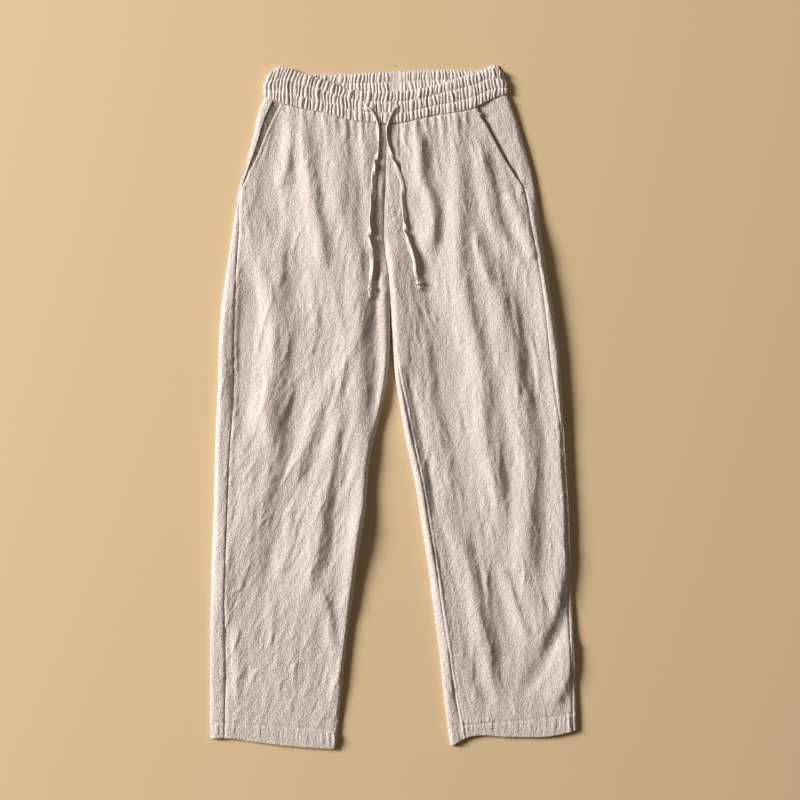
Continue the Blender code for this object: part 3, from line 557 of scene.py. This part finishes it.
# ---------------------------------------------------------- mesh helpers
def skin(name, grid, mat, closed=False, up=None):
    """A smooth sheet from points [row][column], or a ring if closed."""
    rows, cols = grid.shape[:2]
    index = np.arange(rows * cols).reshape(rows, cols)
    right = np.roll(index, -1, axis=1)
    if not closed:
        index, right = index[:, :-1], right[:, :-1]
    quads = np.stack([index[:-1], right[:-1], right[1:], index[1:]], axis=-1).reshape(-1, 4)
    points = grid.reshape(-1, 3)
    if up is not None:
        a, b, c = (points[quads[:, k]] for k in (0, 1, 2))
        lift = np.cross(b - a, c - a)[:, 2]
        if lift.sum() * up < 0:
            quads = quads[:, ::-1]
    mesh = bpy.data.meshes.new(name)
    mesh.from_pydata(points.tolist(), [], quads.tolist())
    mesh.polygons.foreach_set("use_smooth", [True] * len(quads))
    mesh.materials.append(mat)
    mesh.update()
    obj = bpy.data.objects.new(name, mesh)
    bpy.context.scene.collection.objects.link(obj)
    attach(obj, "root")
    return obj


def tubes(name, parts, mat):
    """Several closed tubes in one mesh; each is rings of points."""
    verts, faces, base = [], [], 0
    for rings in parts:
        rings = np.asarray(rings)
        n, m = rings.shape[:2]
        verts.extend(rings.reshape(-1, 3).tolist())
        for r in range(n - 1):
            for c in range(m):
                d = (c + 1) % m
                a = base + r * m
                faces.append((a + c, a + d, a + m + d, a + m + c))
        faces.append(tuple(base + c for c in range(m - 1, -1, -1)))
        faces.append(tuple(base + (n - 1) * m + c for c in range(m)))
        base += n * m
    mesh = bpy.data.meshes.new(name)
    mesh.from_pydata(verts, [], faces)
    mesh.polygons.foreach_set("use_smooth", [True] * len(faces))
    mesh.materials.append(mat)
    mesh.update()
    obj = bpy.data.objects.new(name, mesh)
    bpy.context.scene.collection.objects.link(obj)
    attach(obj, "root")
    return obj


def frames(path):
    """Tangent, side and up directions along a path of points."""
    t = np.gradient(path, axis=0)
    t /= np.linalg.norm(t, axis=1, keepdims=True)
    side = np.cross(t, np.array([0.0, 0.0, 1.0]))
    side /= np.maximum(np.linalg.norm(side, axis=1, keepdims=True), 1e-9)
    return t, side, np.cross(side, t)


# ------------------------------------------------------------ drawstring
ROUTE_RIGHT = [(365.8, 108.6), (370.7, 110.3), (374.9, 116.7), (377, 123.7), (378.4, 136), (378.4, 149), (375.6, 163),
               (373.5, 174), (372.8, 188), (372, 202), (370.7, 216), (370, 230), (370, 241.5), (371.4, 251),
               (372, 262.6), (371.4, 275), (370.4, 286)]
ROUTE_LEFT = [(398.8, 107.6), (393, 114), (389.0, 121.6), (386.6, 128.5), (387.5, 139), (390.3, 151.7), (395.2, 165.8),
              (399.5, 175.6), (403, 188), (402.8, 199.4), (403.7, 213.5), (404.4, 226), (407.9, 241.5),
              (411.4, 252.8), (414.4, 264), (415.0, 272.4), (417.4, 280.5)]
TAPE_WIDE, TAPE_THICK = 6.0, 2.1        # mm
BAND_TOP = BAND_LOFT + 1.7


def lay_height(x, y):
    leg = LEG_R if x < curve(INNER_R, y) else LEG_L
    z = float(leg.top_z(np.array([x]), np.array([y]))[0])
    if y < float(curve(BAND_SEAM, x)) + 1.0:
        z = max(z, BAND_TOP)
    return z


def drawstring(side, route, seed):
    """Flat self-fabric tape, rolled and twisted, with its knot and tail."""
    rng = np.random.default_rng(seed)
    line = smooth_path(route, 1.0)
    along = np.concatenate([[0], np.cumsum(np.linalg.norm(np.diff(line, axis=0), axis=1))])
    s = np.linspace(0, along[-1], int(along[-1] / 0.9))
    x, y = (np.interp(s, along, line[:, k]) for k in (0, 1))
    under = np.array([max(lay_height(px + dx, py) for dx in (-1.5, 0, 1.5)) for px, py in zip(x, y)])
    wide = np.array([under[max(0, k - 5):k + 6].max() for k in range(len(s))])
    soft = np.convolve(np.pad(wide, 8, mode="edge"), np.ones(17) / 17, mode="valid")
    rate = 0.5 + 0.7 * np.sin(s / 11.0 + seed) + 0.5 * np.sin(s / 6.1 + 2 * seed)
    turns = 0.3 + np.cumsum(rate) * 0.14
    half = TAPE_WIDE / 2 * (1 + 0.12 * np.sin(s / 5.3 + seed) + 0.07 * np.sin(s / 2.9))
    lift = np.abs(np.sin(turns)) * (half - TAPE_THICK / 2) * 0.5 + TAPE_THICK / 2
    z = soft + np.convolve(np.pad(lift, 5, mode="edge"), np.ones(11) / 11, mode="valid") - 0.3
    path = to_world(x, y, z)
    _, across, up = frames(path)
    ring = np.linspace(0, 2 * np.pi, 14, endpoint=False)
    rings = []
    for k in range(len(s)):
        ca, sa = math.cos(turns[k]), math.sin(turns[k])
        w = np.sign(np.cos(ring)) * np.abs(np.cos(ring)) ** 0.8 * half[k]
        h = np.sign(np.sin(ring)) * np.abs(np.sin(ring)) ** 0.8 * TAPE_THICK / 2
        # crumpled across, and the two sewn edges stand a little thicker
        h = h + 0.22 * np.sin(w * 1.3 + s[k] * 0.5) * math.sin(s[k] * 0.35)
        h = h * (1 + 0.35 * (np.abs(w) / half[k]) ** 2)
        p = w[:, None] * (ca * across[k] + sa * up[k]) + h[:, None] * (-sa * across[k] + ca * up[k])
        rings.append(path[k] + p * MM)
    tape = tubes("drawstring_tape_" + side, [rings], LINEN_TAPE)
    # overhand knot past the end, with a short frayed tail
    way = path[-1] - path[-4]
    way[2] = 0
    way /= np.linalg.norm(way)
    left = np.cross(way, np.array([0, 0, 1.0]))
    centre = path[-1] + way * 0.0042
    centre[2] = (lay_height(centre[0] / SQ + MID_X, MID_Y - centre[1] / SQ) + 3.2) * MM
    t = np.linspace(0, 2 * np.pi, 72)
    kx = (np.sin(t) + 2 * np.sin(2 * t)) * 1.02
    ky = (np.cos(t) - 2 * np.cos(2 * t)) * 0.88
    kz = -np.sin(3 * t) * 1.25
    loop = centre + (kx[:, None] * way + ky[:, None] * left) * MM
    loop[:, 2] += kz * MM
    _, side_k, up_k = frames(loop)
    knot = [loop[k] + (np.cos(ring)[:, None] * side_k[k] * 1.45 + np.sin(ring)[:, None] * up_k[k] * 1.2) * MM
            for k in range(len(loop))]
    tail_len = 0.011 if side == "right" else 0.007
    u = np.linspace(0, 1, 12)
    bend = -0.0012 if side == "right" else 0.0022
    tail = centre + way * (0.002 + tail_len * u)[:, None] + left * (bend * u ** 2)[:, None]
    tail[:, 2] = centre[2] - 0.0012 * u
    _, side_t, up_t = frames(tail)
    tail_rings = [tail[k] + (np.cos(ring)[:, None] * side_t[k] * (2.2 + 0.5 * u[k])
                             + np.sin(ring)[:, None] * up_t[k] * (1.0 - 0.35 * u[k])) * MM for k in range(len(u))]
    fray = []
    for k in range(7):
        root = tail[-1] + side_t[-1] * MM * rng.uniform(-2.0, 2.0)
        tip = root + way * rng.uniform(0.0012, 0.0032) + left * rng.uniform(-0.0011, 0.0011)
        tip[2] -= rng.uniform(0.0, 0.0006)
        a = np.linspace(0, 1, 4)[:, None]
        strand = root * (1 - a) + tip * a
        _, sf, uf = frames(strand)
        small = np.linspace(0, 2 * np.pi, 5, endpoint=False)
        fray.append([strand[j] + (np.cos(small)[:, None] * sf[j] + np.sin(small)[:, None] * uf[j]) * 0.22 * MM
                     for j in range(4)])
    end = tubes("drawstring_knot_" + side, [knot, tail_rings] + fray, LINEN_TAPE)
    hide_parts("drawstring_" + side)
    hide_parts("knot_" + side)
    return path


drawstring("right", ROUTE_RIGHT, 21)
drawstring("left", ROUTE_LEFT, 34)


# ---------------------------------------------------------------- fronts
def build_front(leg):
    rows = np.concatenate([np.linspace(0, 0.006, 7), np.linspace(0.0076, 1, 535)])
    sign = leg.sign
    below = ease(POCKET_ROW - 0.002, POCKET_ROW + 0.004, rows)
    start = leg.at(leg.opening, rows) * (1 - below) + leg.at(leg.seam, rows) * below
    y_mid = 112 + 628 * rows
    inset = np.zeros(len(rows)) if leg.inset is None else curve(leg.inset, y_mid)
    end = leg.at(leg.inner, rows) - sign * (0.1 + inset)
    u = np.linspace(0, 1, 118)
    u = 0.8 * u + 0.2 * (0.5 - 0.5 * np.cos(np.pi * u))
    x = start[:, None] + (end - start)[:, None] * u[None, :]
    y = leg.row_y(np.broadcast_to(rows[:, None], x.shape), x)
    z = leg.top_z(x, y)
    # sewn into the band
    z = z - 4.6 * np.exp(-np.abs(y - curve(BAND_SEAM, x)) / 0.75)
    # rolled edge of the pocket opening, with its row of stitching
    free = (1 - below)[:, None]
    d = np.abs(x - start[:, None])
    z = z - 0.35 * np.exp(-((d - 3.4) / 0.9) ** 2) * free
    z = z + (0.9 * np.exp(-(d / 4.0) ** 2) - 0.7 * np.exp(-(d / 0.8) ** 2)) * free
    edge_x, edge_y, edge_z = x[:, :1], y[:, :1], z[:, :1]
    rim_first = [(edge_x + sign * 3.5, edge_y, edge_z - 1.5), (edge_x + sign * 0.6, edge_y, edge_z - 1.4),
                 (edge_x - sign * 0.25, edge_y, edge_z - 0.8)]
    edge_x, edge_y, edge_z = x[:, -1:], y[:, -1:], z[:, -1:]
    rim_last = [(edge_x + sign * 0.05, edge_y, edge_z - 0.7), (edge_x - sign * 0.8, edge_y, edge_z - 1.2)]
    cols = [to_world(*p) for p in rim_first] + [to_world(x, y, z)] + [to_world(*p) for p in rim_last]
    grid = np.concatenate(cols, axis=1)
    # the turned hem: round the edge and back up inside
    hem = grid[-1].copy()
    extra = []
    for dy, dz in ((0.25, -0.5), (0.3, -1.2), (0.0, -1.8), (-4.0, -2.0), (-16.0, -2.1), (-16.6, -1.5)):
        row = hem.copy()
        row[:, 1] -= dy * SQ
        row[:, 2] = np.maximum(row[:, 2] + dz * MM, 0.0012)
        extra.append(row)
    top = grid[0].copy()
    top[:, 2] -= 1.2 * MM
    top[:, 1] += 1.2 * SQ
    grid = np.concatenate([top[None], grid, np.array(extra)])
    front = skin("leg_front_" + leg.side, grid, LINEN_FRONT, up=1)
    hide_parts("front_" + leg.side)
    return front


# ----------------------------------------------------------------- backs
def build_back(leg):
    rows = np.linspace(0, 1, 430)
    sign = leg.sign
    y_mid = 112 + 628 * rows
    seam, out = leg.at(leg.seam, rows), leg.at(leg.outer, rows)
    inner = leg.at(leg.inner, rows) - sign * 0.1
    inset = np.zeros(len(rows)) if leg.inset is None else curve(leg.inset, y_mid)
    over_u = np.sin(np.linspace(0, np.pi / 2, 16))
    under_u = 0.5 - 0.5 * np.cos(np.linspace(0, np.pi, 66))
    nose_u = 1 - np.cos(np.linspace(0, np.pi / 2, 12))
    x1 = seam[:, None] + (out - seam)[:, None] * over_u
    y1 = leg.row_y(np.broadcast_to(rows[:, None], x1.shape), x1)
    z1 = leg.top_z(x1, y1)
    z1 = z1 - 1.6 * np.exp(-((y1 - curve(BAND_SEAM, x1)) / 1.8) ** 2)
    x2 = (out[:, None] + (inner - out)[:, None] * under_u)[:, 1:]
    y2 = leg.row_y(np.broadcast_to(rows[:, None], x2.shape), x2, BACK_SEAM)
    z2 = leg.low_z(x2, y2)
    far = np.minimum(np.abs(x2 - out[:, None]), np.abs(x2 - inner[:, None]))
    crease = 0.55 * np.clip(grain_back(x2, y2), -0.2, 1.6) * ease(4, 16, far)
    z2 = z2 + np.maximum(crease, 0)
    cols = [to_world(x1, y1, z1), to_world(x2, y2, z2)]
    rim = (x1[:, :1], y1[:, :1], z1[:, :1])
    rims = [to_world(rim[0] - sign * 3.2, rim[1], rim[2] - 1.5), to_world(rim[0] - sign * 0.4, rim[1], rim[2] - 0.9)]
    if leg.inset is not None:
        x3 = (inner[:, None] - sign * inset[:, None] * nose_u)[:, 1:]
        y3 = leg.row_y(np.broadcast_to(rows[:, None], x3.shape), x3)
        z3 = leg.top_z(x3, y3)
        gone = (1 - ease(0.0, 1.2, inset))[:, None]
        z3 = z3 * (1 - gone) + z2[:, -1:] * gone
        cols.append(to_world(x3, y3, z3))
    grid = np.concatenate(rims + cols, axis=1)
    extra = []
    hem = grid[-1].copy()
    for dy, dz in ((0.25, 0.5), (0.3, 1.1), (0.0, 1.6), (-4.0, 1.7), (-16.0, 1.8)):
        row = hem.copy()
        row[:, 1] -= dy * SQ
        flat = row[:, 2] < 0.003
        row[:, 2] += np.where(flat, dz, -dz) * MM
        row[:, 2] = np.maximum(row[:, 2], 0.0004)
        extra.append(row)
    top = grid[0].copy()
    top[:, 1] += 0.8 * SQ
    top[:, 2] = np.where(top[:, 2] < 0.003, top[:, 2] + 0.0012, top[:, 2] - 0.0012)
    grid = np.concatenate([top[None], grid, np.array(extra)])
    back = skin("leg_back_" + leg.side, grid, LINEN_BACK, up=-1)
    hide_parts("back_" + leg.side)
    return back


BACK_GRAIN = grain(41, 16.0, 90.0, 0.05)


def grain_back(x, y):
    """Soft lengthwise creases of the hidden back."""
    i = np.clip(((x - AREA[0]) / GRID).astype(int), 0, len(GX) - 1)
    j = np.clip(((y - AREA[2]) / GRID).astype(int), 0, len(GY) - 1)
    return BACK_GRAIN[j, i]


# --------------------------------------------------------------- pockets
def build_pocket(leg):
    rows = np.linspace(0.0, 0.225, 110)
    sign = leg.sign
    y_mid = 112 + 628 * rows
    below = ease(POCKET_ROW - 0.006, POCKET_ROW + 0.006, rows)
    seam = leg.at(leg.seam, rows) + sign * (0.2 + (1.8 + 7 * ease(191, 262, y_mid)) * below)
    opening = leg.at(leg.opening, rows)
    edge = np.where(opening * sign > seam * sign, opening, seam) + sign * 1.5
    turn = leg.at(leg.seam, rows) + sign * (62.0 - 16 * ease(205, 262, y_mid))
    show = np.linspace(0, 1, 16)
    x1 = seam[:, None] + (edge - seam)[:, None] * show
    y1 = leg.row_y(np.broadcast_to(rows[:, None], x1.shape), x1)
    open_z = np.maximum(leg.top_z(x1, y1) - 1.0 - 4.4 * show ** 1.2, 2.6)
    wave = 0.20 * np.sin(y1 * 0.55 + x1 * 0.2) * np.sin(np.pi * show)
    z1 = (open_z + wave) * (1 - below[:, None]) + 3.0 * below[:, None]
    u = np.linspace(0, 1, 34)[1:]
    x2 = edge[:, None] + (turn - edge)[:, None] * u
    y2 = leg.row_y(np.broadcast_to(rows[:, None], x2.shape), x2)
    z2 = 2.2 + (z1[:, -1:] - 2.2) * np.exp(-(x2 - edge[:, None]) * sign / 3.0)
    x3 = turn[:, None] + (edge + sign * 1.0 - turn)[:, None] * u
    y3 = leg.row_y(np.broadcast_to(rows[:, None], x3.shape), x3)
    z3 = np.full(x3.shape, 4.0)
    xt, yt = turn[:, None] + sign * 0.7, y2[:, -1:]
    grid = np.concatenate([to_world(x1, y1, z1), to_world(x2, y2, z2), to_world(xt, yt, np.full(xt.shape, 3.1)),
                           to_world(x3, y3, z3)], axis=1)
    # its darker linen is painted shade on the facing strip seen inside the opening
    bag = skin("pocket_piece_" + leg.side, grid, LINEN_POCKET_SHADED, up=1)
    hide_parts("pocket_" + leg.side)
    return bag


# ------------------------------------------------------------- waistband
CHANNELS = [(0.0, 0.31), (0.31, 0.68), (0.68, 1.0)]


def gathers(s, level, seed, gap, deep):
    """Height of the shirred cloth, mm: round ridges with sharp valleys."""
    rng = np.random.default_rng(seed)
    total = s.max()
    count = int(total / gap)
    even = np.linspace(0, total, count + 1)
    even[1:-1] += rng.uniform(-0.26, 0.26, count - 1) * gap
    tall = rng.uniform(0.75, 1.2, count)
    z = np.zeros(s.shape)
    for lo, hi in CHANNELS:
        v = (level - lo) / (hi - lo)
        inside = (v >= -1e-6) & (v <= 1 + 1e-6)
        v = np.clip(v, 0, 1)
        puff = np.sin(np.pi * v) ** 0.5
        valley = np.sort(even + np.concatenate([[0], rng.uniform(-0.20, 0.20, count - 1) * gap, [0]]))
        lean, bow = np.zeros(count + 1), np.zeros(count + 1)
        lean[1:-1] = rng.uniform(-0.50, 0.50, count - 1) * gap
        bow[1:-1] = rng.uniform(-0.28, 0.28, count - 1) * gap
        own = tall * rng.uniform(0.75, 1.25, count)
        # each valley leans and bows a little from stitch row to stitch row
        shift = np.interp(s, valley, lean) * (v - 0.5) + np.interp(s, valley, bow) * (4 * v * (1 - v))
        t = np.clip(s - shift, 0, total - 1e-6)
        k = np.clip(np.searchsorted(valley, t, side="right") - 1, 0, count - 1)
        u = (t - valley[k]) / np.maximum(valley[k + 1] - valley[k], 0.3)
        ridge = (4 * np.clip(u * (1 - u), 0, 0.25)) ** 0.75 * own[k]
        z = np.where(inside, 1.3 * puff + deep * (0.50 + 0.50 * puff) * (ridge - 0.40), z)
    return z


def build_band():
    outer_levels = np.concatenate([np.linspace(lo, hi, 14)[:-1] for lo, hi in CHANNELS] + [[1.0]])
    grid = []
    n_long, n_turn = 372, 26

    def ring(level):
        left = 272.6 + (264.9 - 272.6) * ease(-0.2, 0.55, level)
        right = 500.6 + (507.0 - 500.6) * ease(-0.2, 0.8, level)
        x = left + 3.2 + (right - left - 6.4) * np.linspace(0, 1, n_long)
        y = curve(RIM_FRONT, x) * (1 - level) + curve(BAND_SEAM, x) * level
        front = np.stack([x, y, np.full(x.shape, BAND_LOFT)], axis=1)
        y = curve(RIM_BACK, x) * (1 - level) + seam_y(BACK_SEAM, x) * level
        back = np.stack([x, y, np.zeros(x.shape)], axis=1)
        ends = []
        for edge, sign in ((right, 1), (left, -1)):
            a = np.linspace(0, np.pi, n_turn + 2)[1:-1]
            mix = (1 - np.cos(a)) / 2
            xa = edge - sign * 3.2 * (1 - np.sin(a))
            up = curve(RIM_FRONT, xa) * (1 - level) + curve(BAND_SEAM, xa) * level
            low = curve(RIM_BACK, xa) * (1 - level) + seam_y(BACK_SEAM, xa) * level
            arc = np.stack([xa, up * (1 - mix) + low * mix, BAND_LOFT * (1 - mix)], axis=1)
            ends.append(arc if sign > 0 else arc[::-1])
        return np.concatenate([front, ends[0], back[::-1], ends[1]])

    for level in outer_levels:
        grid.append(ring(level))
    plan = np.array(grid)
    world = to_world(plan[..., 0], plan[..., 1], plan[..., 2])
    around = np.roll(world, -1, axis=1) - np.roll(world, 1, axis=1)
    down = np.gradient(world, axis=0)
    normal = np.cross(down, around)
    normal /= np.linalg.norm(normal, axis=2, keepdims=True)
    if normal[0, n_long // 2, 2] < 0:
        normal = -normal
    step = np.linalg.norm(np.roll(world, -1, axis=1) - world, axis=2)
    s = np.concatenate([np.zeros((len(plan), 1)), np.cumsum(step, axis=1)[:, :-1]], axis=1) / SQ
    s = s * (s[len(plan) // 2].max() / s.max(axis=1, keepdims=True))
    level = np.broadcast_to(outer_levels[:, None], s.shape)
    bump = gathers(s, level, 5, 3.7, 3.3)
    low = ease(0.0, 5.0, plan[..., 2])
    outside = world + normal * (bump * (0.10 + 0.90 * low))[..., None] * MM
    outside[..., 2] = np.maximum(outside[..., 2], 0.0)
    # inner face: closer, flatter gathers; smooth where the elastic joins
    bump_in = gathers(s, level, 9, 3.5, 2.3)
    join = np.exp(-((plan[..., 0] - 395.5) / 6.5) ** 4)
    bump_in = bump_in * (1 - 0.85 * join) + 0.4 * join
    inside = world - normal * (BAND_WALL * MM) - normal * (bump_in * (0.25 + 0.75 * (1 - low)))[..., None] * MM
    # roll over the rim
    lip = []
    for deg in (30, 60, 90, 120, 150):
        a = math.radians(deg)
        mix = (1 - math.cos(a)) / 2
        rise = -down[0] / np.linalg.norm(down[0], axis=1, keepdims=True)
        wavy = 1.2 + 0.7 * (bump[1] - bump[1].mean())[:, None]
        lip.append(outside[0] * (1 - mix) + inside[0] * mix + rise * math.sin(a) * wavy * MM)
    foot = outside[-1] * 1.0
    foot[:, 2] -= np.where(plan[-1, :, 2] > 4, 3.2, -0.6) * MM
    all_rows = np.concatenate([inside[::-1], np.array(lip[::-1]), outside, foot[None]])
    all_rows[..., 2] = np.maximum(all_rows[..., 2], 0.0)
    band = skin("waistband_shirred", all_rows, LINEN_BAND, closed=True)
    mesh = band.data
    centre = all_rows[len(inside) + len(lip) + 8, n_long // 2]
    best = min(mesh.polygons, key=lambda f: (f.center[0] - centre[0]) ** 2 + (f.center[1] - centre[1]) ** 2
               + (f.center[2] - centre[2]) ** 2)
    if best.normal.z < 0:
        mesh.flip_normals()
    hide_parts("waistband")
    return band


for leg in (LEG_R, LEG_L):
    build_back(leg)
    build_pocket(leg)
    build_front(leg)
build_band()


# --------------------------------------------------------------- stitches
def stitch_run(points, height, pitch=2.1, long=1.45, thick=0.26, seed=1):
    """Capsules of thread along a line; height(x, y) is the cloth's, mm."""
    rng = np.random.default_rng(seed)
    line = smooth_path(points, 0.5)
    along = np.concatenate([[0], np.cumsum(np.linalg.norm(np.diff(line, axis=0), axis=1))])
    out = []
    at = 0.4
    while at + long < along[-1]:
        s = at + np.linspace(0, long, 5) + rng.uniform(-0.08, 0.08)
        x, y = np.interp(s, along, line[:, 0]), np.interp(s, along, line[:, 1])
        z = height(x, y) + np.array([-0.12, 0.12, 0.2, 0.12, -0.12])
        path = to_world(x, y, z)
        _, side, up = frames(path)
        ring = np.linspace(0, 2 * np.pi, 6, endpoint=False)
        fat = np.array([0.55, 1, 1.05, 1, 0.55]) * thick
        out.append([path[k] + (np.cos(ring)[:, None] * side[k] + np.sin(ring)[:, None] * up[k]) * fat[k] * MM
                    for k in range(5)])
        at += pitch * rng.uniform(0.94, 1.06)
    return out


def on_leg(leg):
    return lambda x, y: leg.top_z(x, y)


HEM_STITCH_R = [(213, 721), (225.5, 721.4), (256, 724.5), (289, 726), (335, 729)]
HEM_STITCH_L = [(448.5, 724.5), (464, 724), (490, 722), (515, 720), (546, 716.5), (576, 712)]
J_STITCH = [(399.5, 126), (399.8, 160), (399.5, 195), (398.6, 209), (396, 217), (390, 219.4), (386, 217)]

parts = stitch_run(HEM_STITCH_R, on_leg(LEG_R), seed=2)
run = tubes("hem_stitching_right", parts, THREAD)
parts = stitch_run(HEM_STITCH_L, on_leg(LEG_L), seed=3)
run = tubes("hem_stitching_left", parts, THREAD)
parts = stitch_run(J_STITCH, on_leg(LEG_L), seed=4)
run = tubes("fly_stitching", parts, THREAD)
for leg in (LEG_R, LEG_L):
    parts = []
    for set_in, seed in ((3.4, 5),):
        line = [(x + leg.sign * set_in, y) for y, x in leg.opening if y > 101]
        parts += stitch_run(line, on_leg(leg), seed=seed)
    # bar tacks at both ends of the opening
    for x0, y0 in ([(244.8, 189.0), (277.5, 113.5)] if leg.side == "right" else [(521.8, 193.5), (480.5, 115.0)]):
        for k in range(7):
            line = [(x0 - 2.4, y0 + (k - 3) * 0.42), (x0, y0 + (k - 3) * 0.42), (x0 + 2.4, y0 + (k - 3) * 0.42)]
            parts += stitch_run(line, on_leg(leg), pitch=9.0, long=3.6, thick=0.30, seed=7 + k)
    run = tubes("pocket_stitching_" + leg.side, parts, THREAD)

# ------------------------------------------------------------ buttonholes
for name, (x0, y0), tilt in (("right", (366.0, 108.0), 0.10), ("left", (399.6, 109.0), -0.05)):
    ring = np.linspace(0, 2 * np.pi, 44, endpoint=False)
    wide, tall = 0.9, 3.4
    cx, cy = wide * np.cos(ring), tall * np.sin(ring)
    px, py = x0 + cx * math.cos(tilt) - cy * math.sin(tilt), y0 + cx * math.sin(tilt) + cy * math.cos(tilt)
    path = to_world(px, py, np.full(px.shape, BAND_TOP - 0.5))
    t = np.roll(path, -1, axis=0) - np.roll(path, 1, axis=0)
    t /= np.linalg.norm(t, axis=1, keepdims=True)
    side = np.cross(t, np.array([0, 0, 1.0]))
    small = np.linspace(0, 2 * np.pi, 8, endpoint=False)
    fat = 0.50 + 0.10 * np.cos(np.arange(44) * np.pi)
    rim = np.array([path[k] + (np.cos(small)[:, None] * side[k] + np.sin(small)[:, None] * np.array([0, 0, 1.0]))
                    * fat[k] * MM for k in range(44)])
    rim = np.concatenate([rim, rim[:1]])
    hole = skin("buttonhole_" + name, rim, LINEN_TAPE, closed=True)
    disc = [to_world(x0 + cx * f * math.cos(tilt) - cy * f * math.sin(tilt),
                     y0 + cx * f * math.sin(tilt) + cy * f * math.cos(tilt),
                     np.full(cx.shape, BAND_TOP - 0.9 - 0.6 * (1 - f))) for f in (0.05, 0.4, 0.8, 1.0)]
    slit = skin("buttonhole_slit_" + name, np.array(disc), SLIT, closed=True)

# ------------------------------------------------------- floor and lights
floor_mesh = bpy.data.meshes.new("floor")
floor_mesh.from_pydata([(-6, -6, -0.0002), (6, -6, -0.0002), (6, 6, -0.0002), (-6, 6, -0.0002)], [], [(0, 1, 2, 3)])
floor = bpy.data.objects.new("floor", floor_mesh)
bpy.context.scene.collection.objects.link(floor)
sand = bpy.data.materials.new("floor_sand")
sand.use_nodes = True
shader = next(n for n in sand.node_tree.nodes if n.type == "BSDF_PRINCIPLED")
shader.inputs["Base Color"].default_value = (0.70, 0.515, 0.300, 1)
shader.inputs["Roughness"].default_value = 0.9
shader.inputs["Specular IOR Level"].default_value = 0.1
floor_mesh.materials.append(sand)


def area_light(name, azimuth, elevation, distance, size, power, colour):
    data = bpy.data.lights.new(name, "AREA")
    data.shape = "DISK"
    data.size = size
    data.energy = power
    data.color = colour
    lamp = bpy.data.objects.new(name, data)
    bpy.context.scene.collection.objects.link(lamp)
    a, e = math.radians(azimuth), math.radians(elevation)
    place = np.array([math.cos(e) * math.cos(a), math.cos(e) * math.sin(a), math.sin(e)]) * distance
    lamp.location = place
    z = place / np.linalg.norm(place)
    lamp.rotation_euler = (math.acos(z[2]), 0, math.atan2(z[1], z[0]) + math.pi / 2)
    return lamp


area_light("key", 164, 28, 8.0, 3.0, 1130, (1.0, 0.985, 0.975))
area_light("fill", 60, 65, 5.0, 3.0, 12, (1.0, 0.90, 0.80))
world = bpy.data.worlds.new("studio")
world.use_nodes = True
backdrop = next(n for n in world.node_tree.nodes if n.type == "BACKGROUND")
backdrop.inputs["Color"].default_value = (1.0, 0.86, 0.76, 1)
backdrop.inputs["Strength"].default_value = 0.075
bpy.context.scene.world = world
bpy.context.scene.view_settings.view_transform = "Standard"
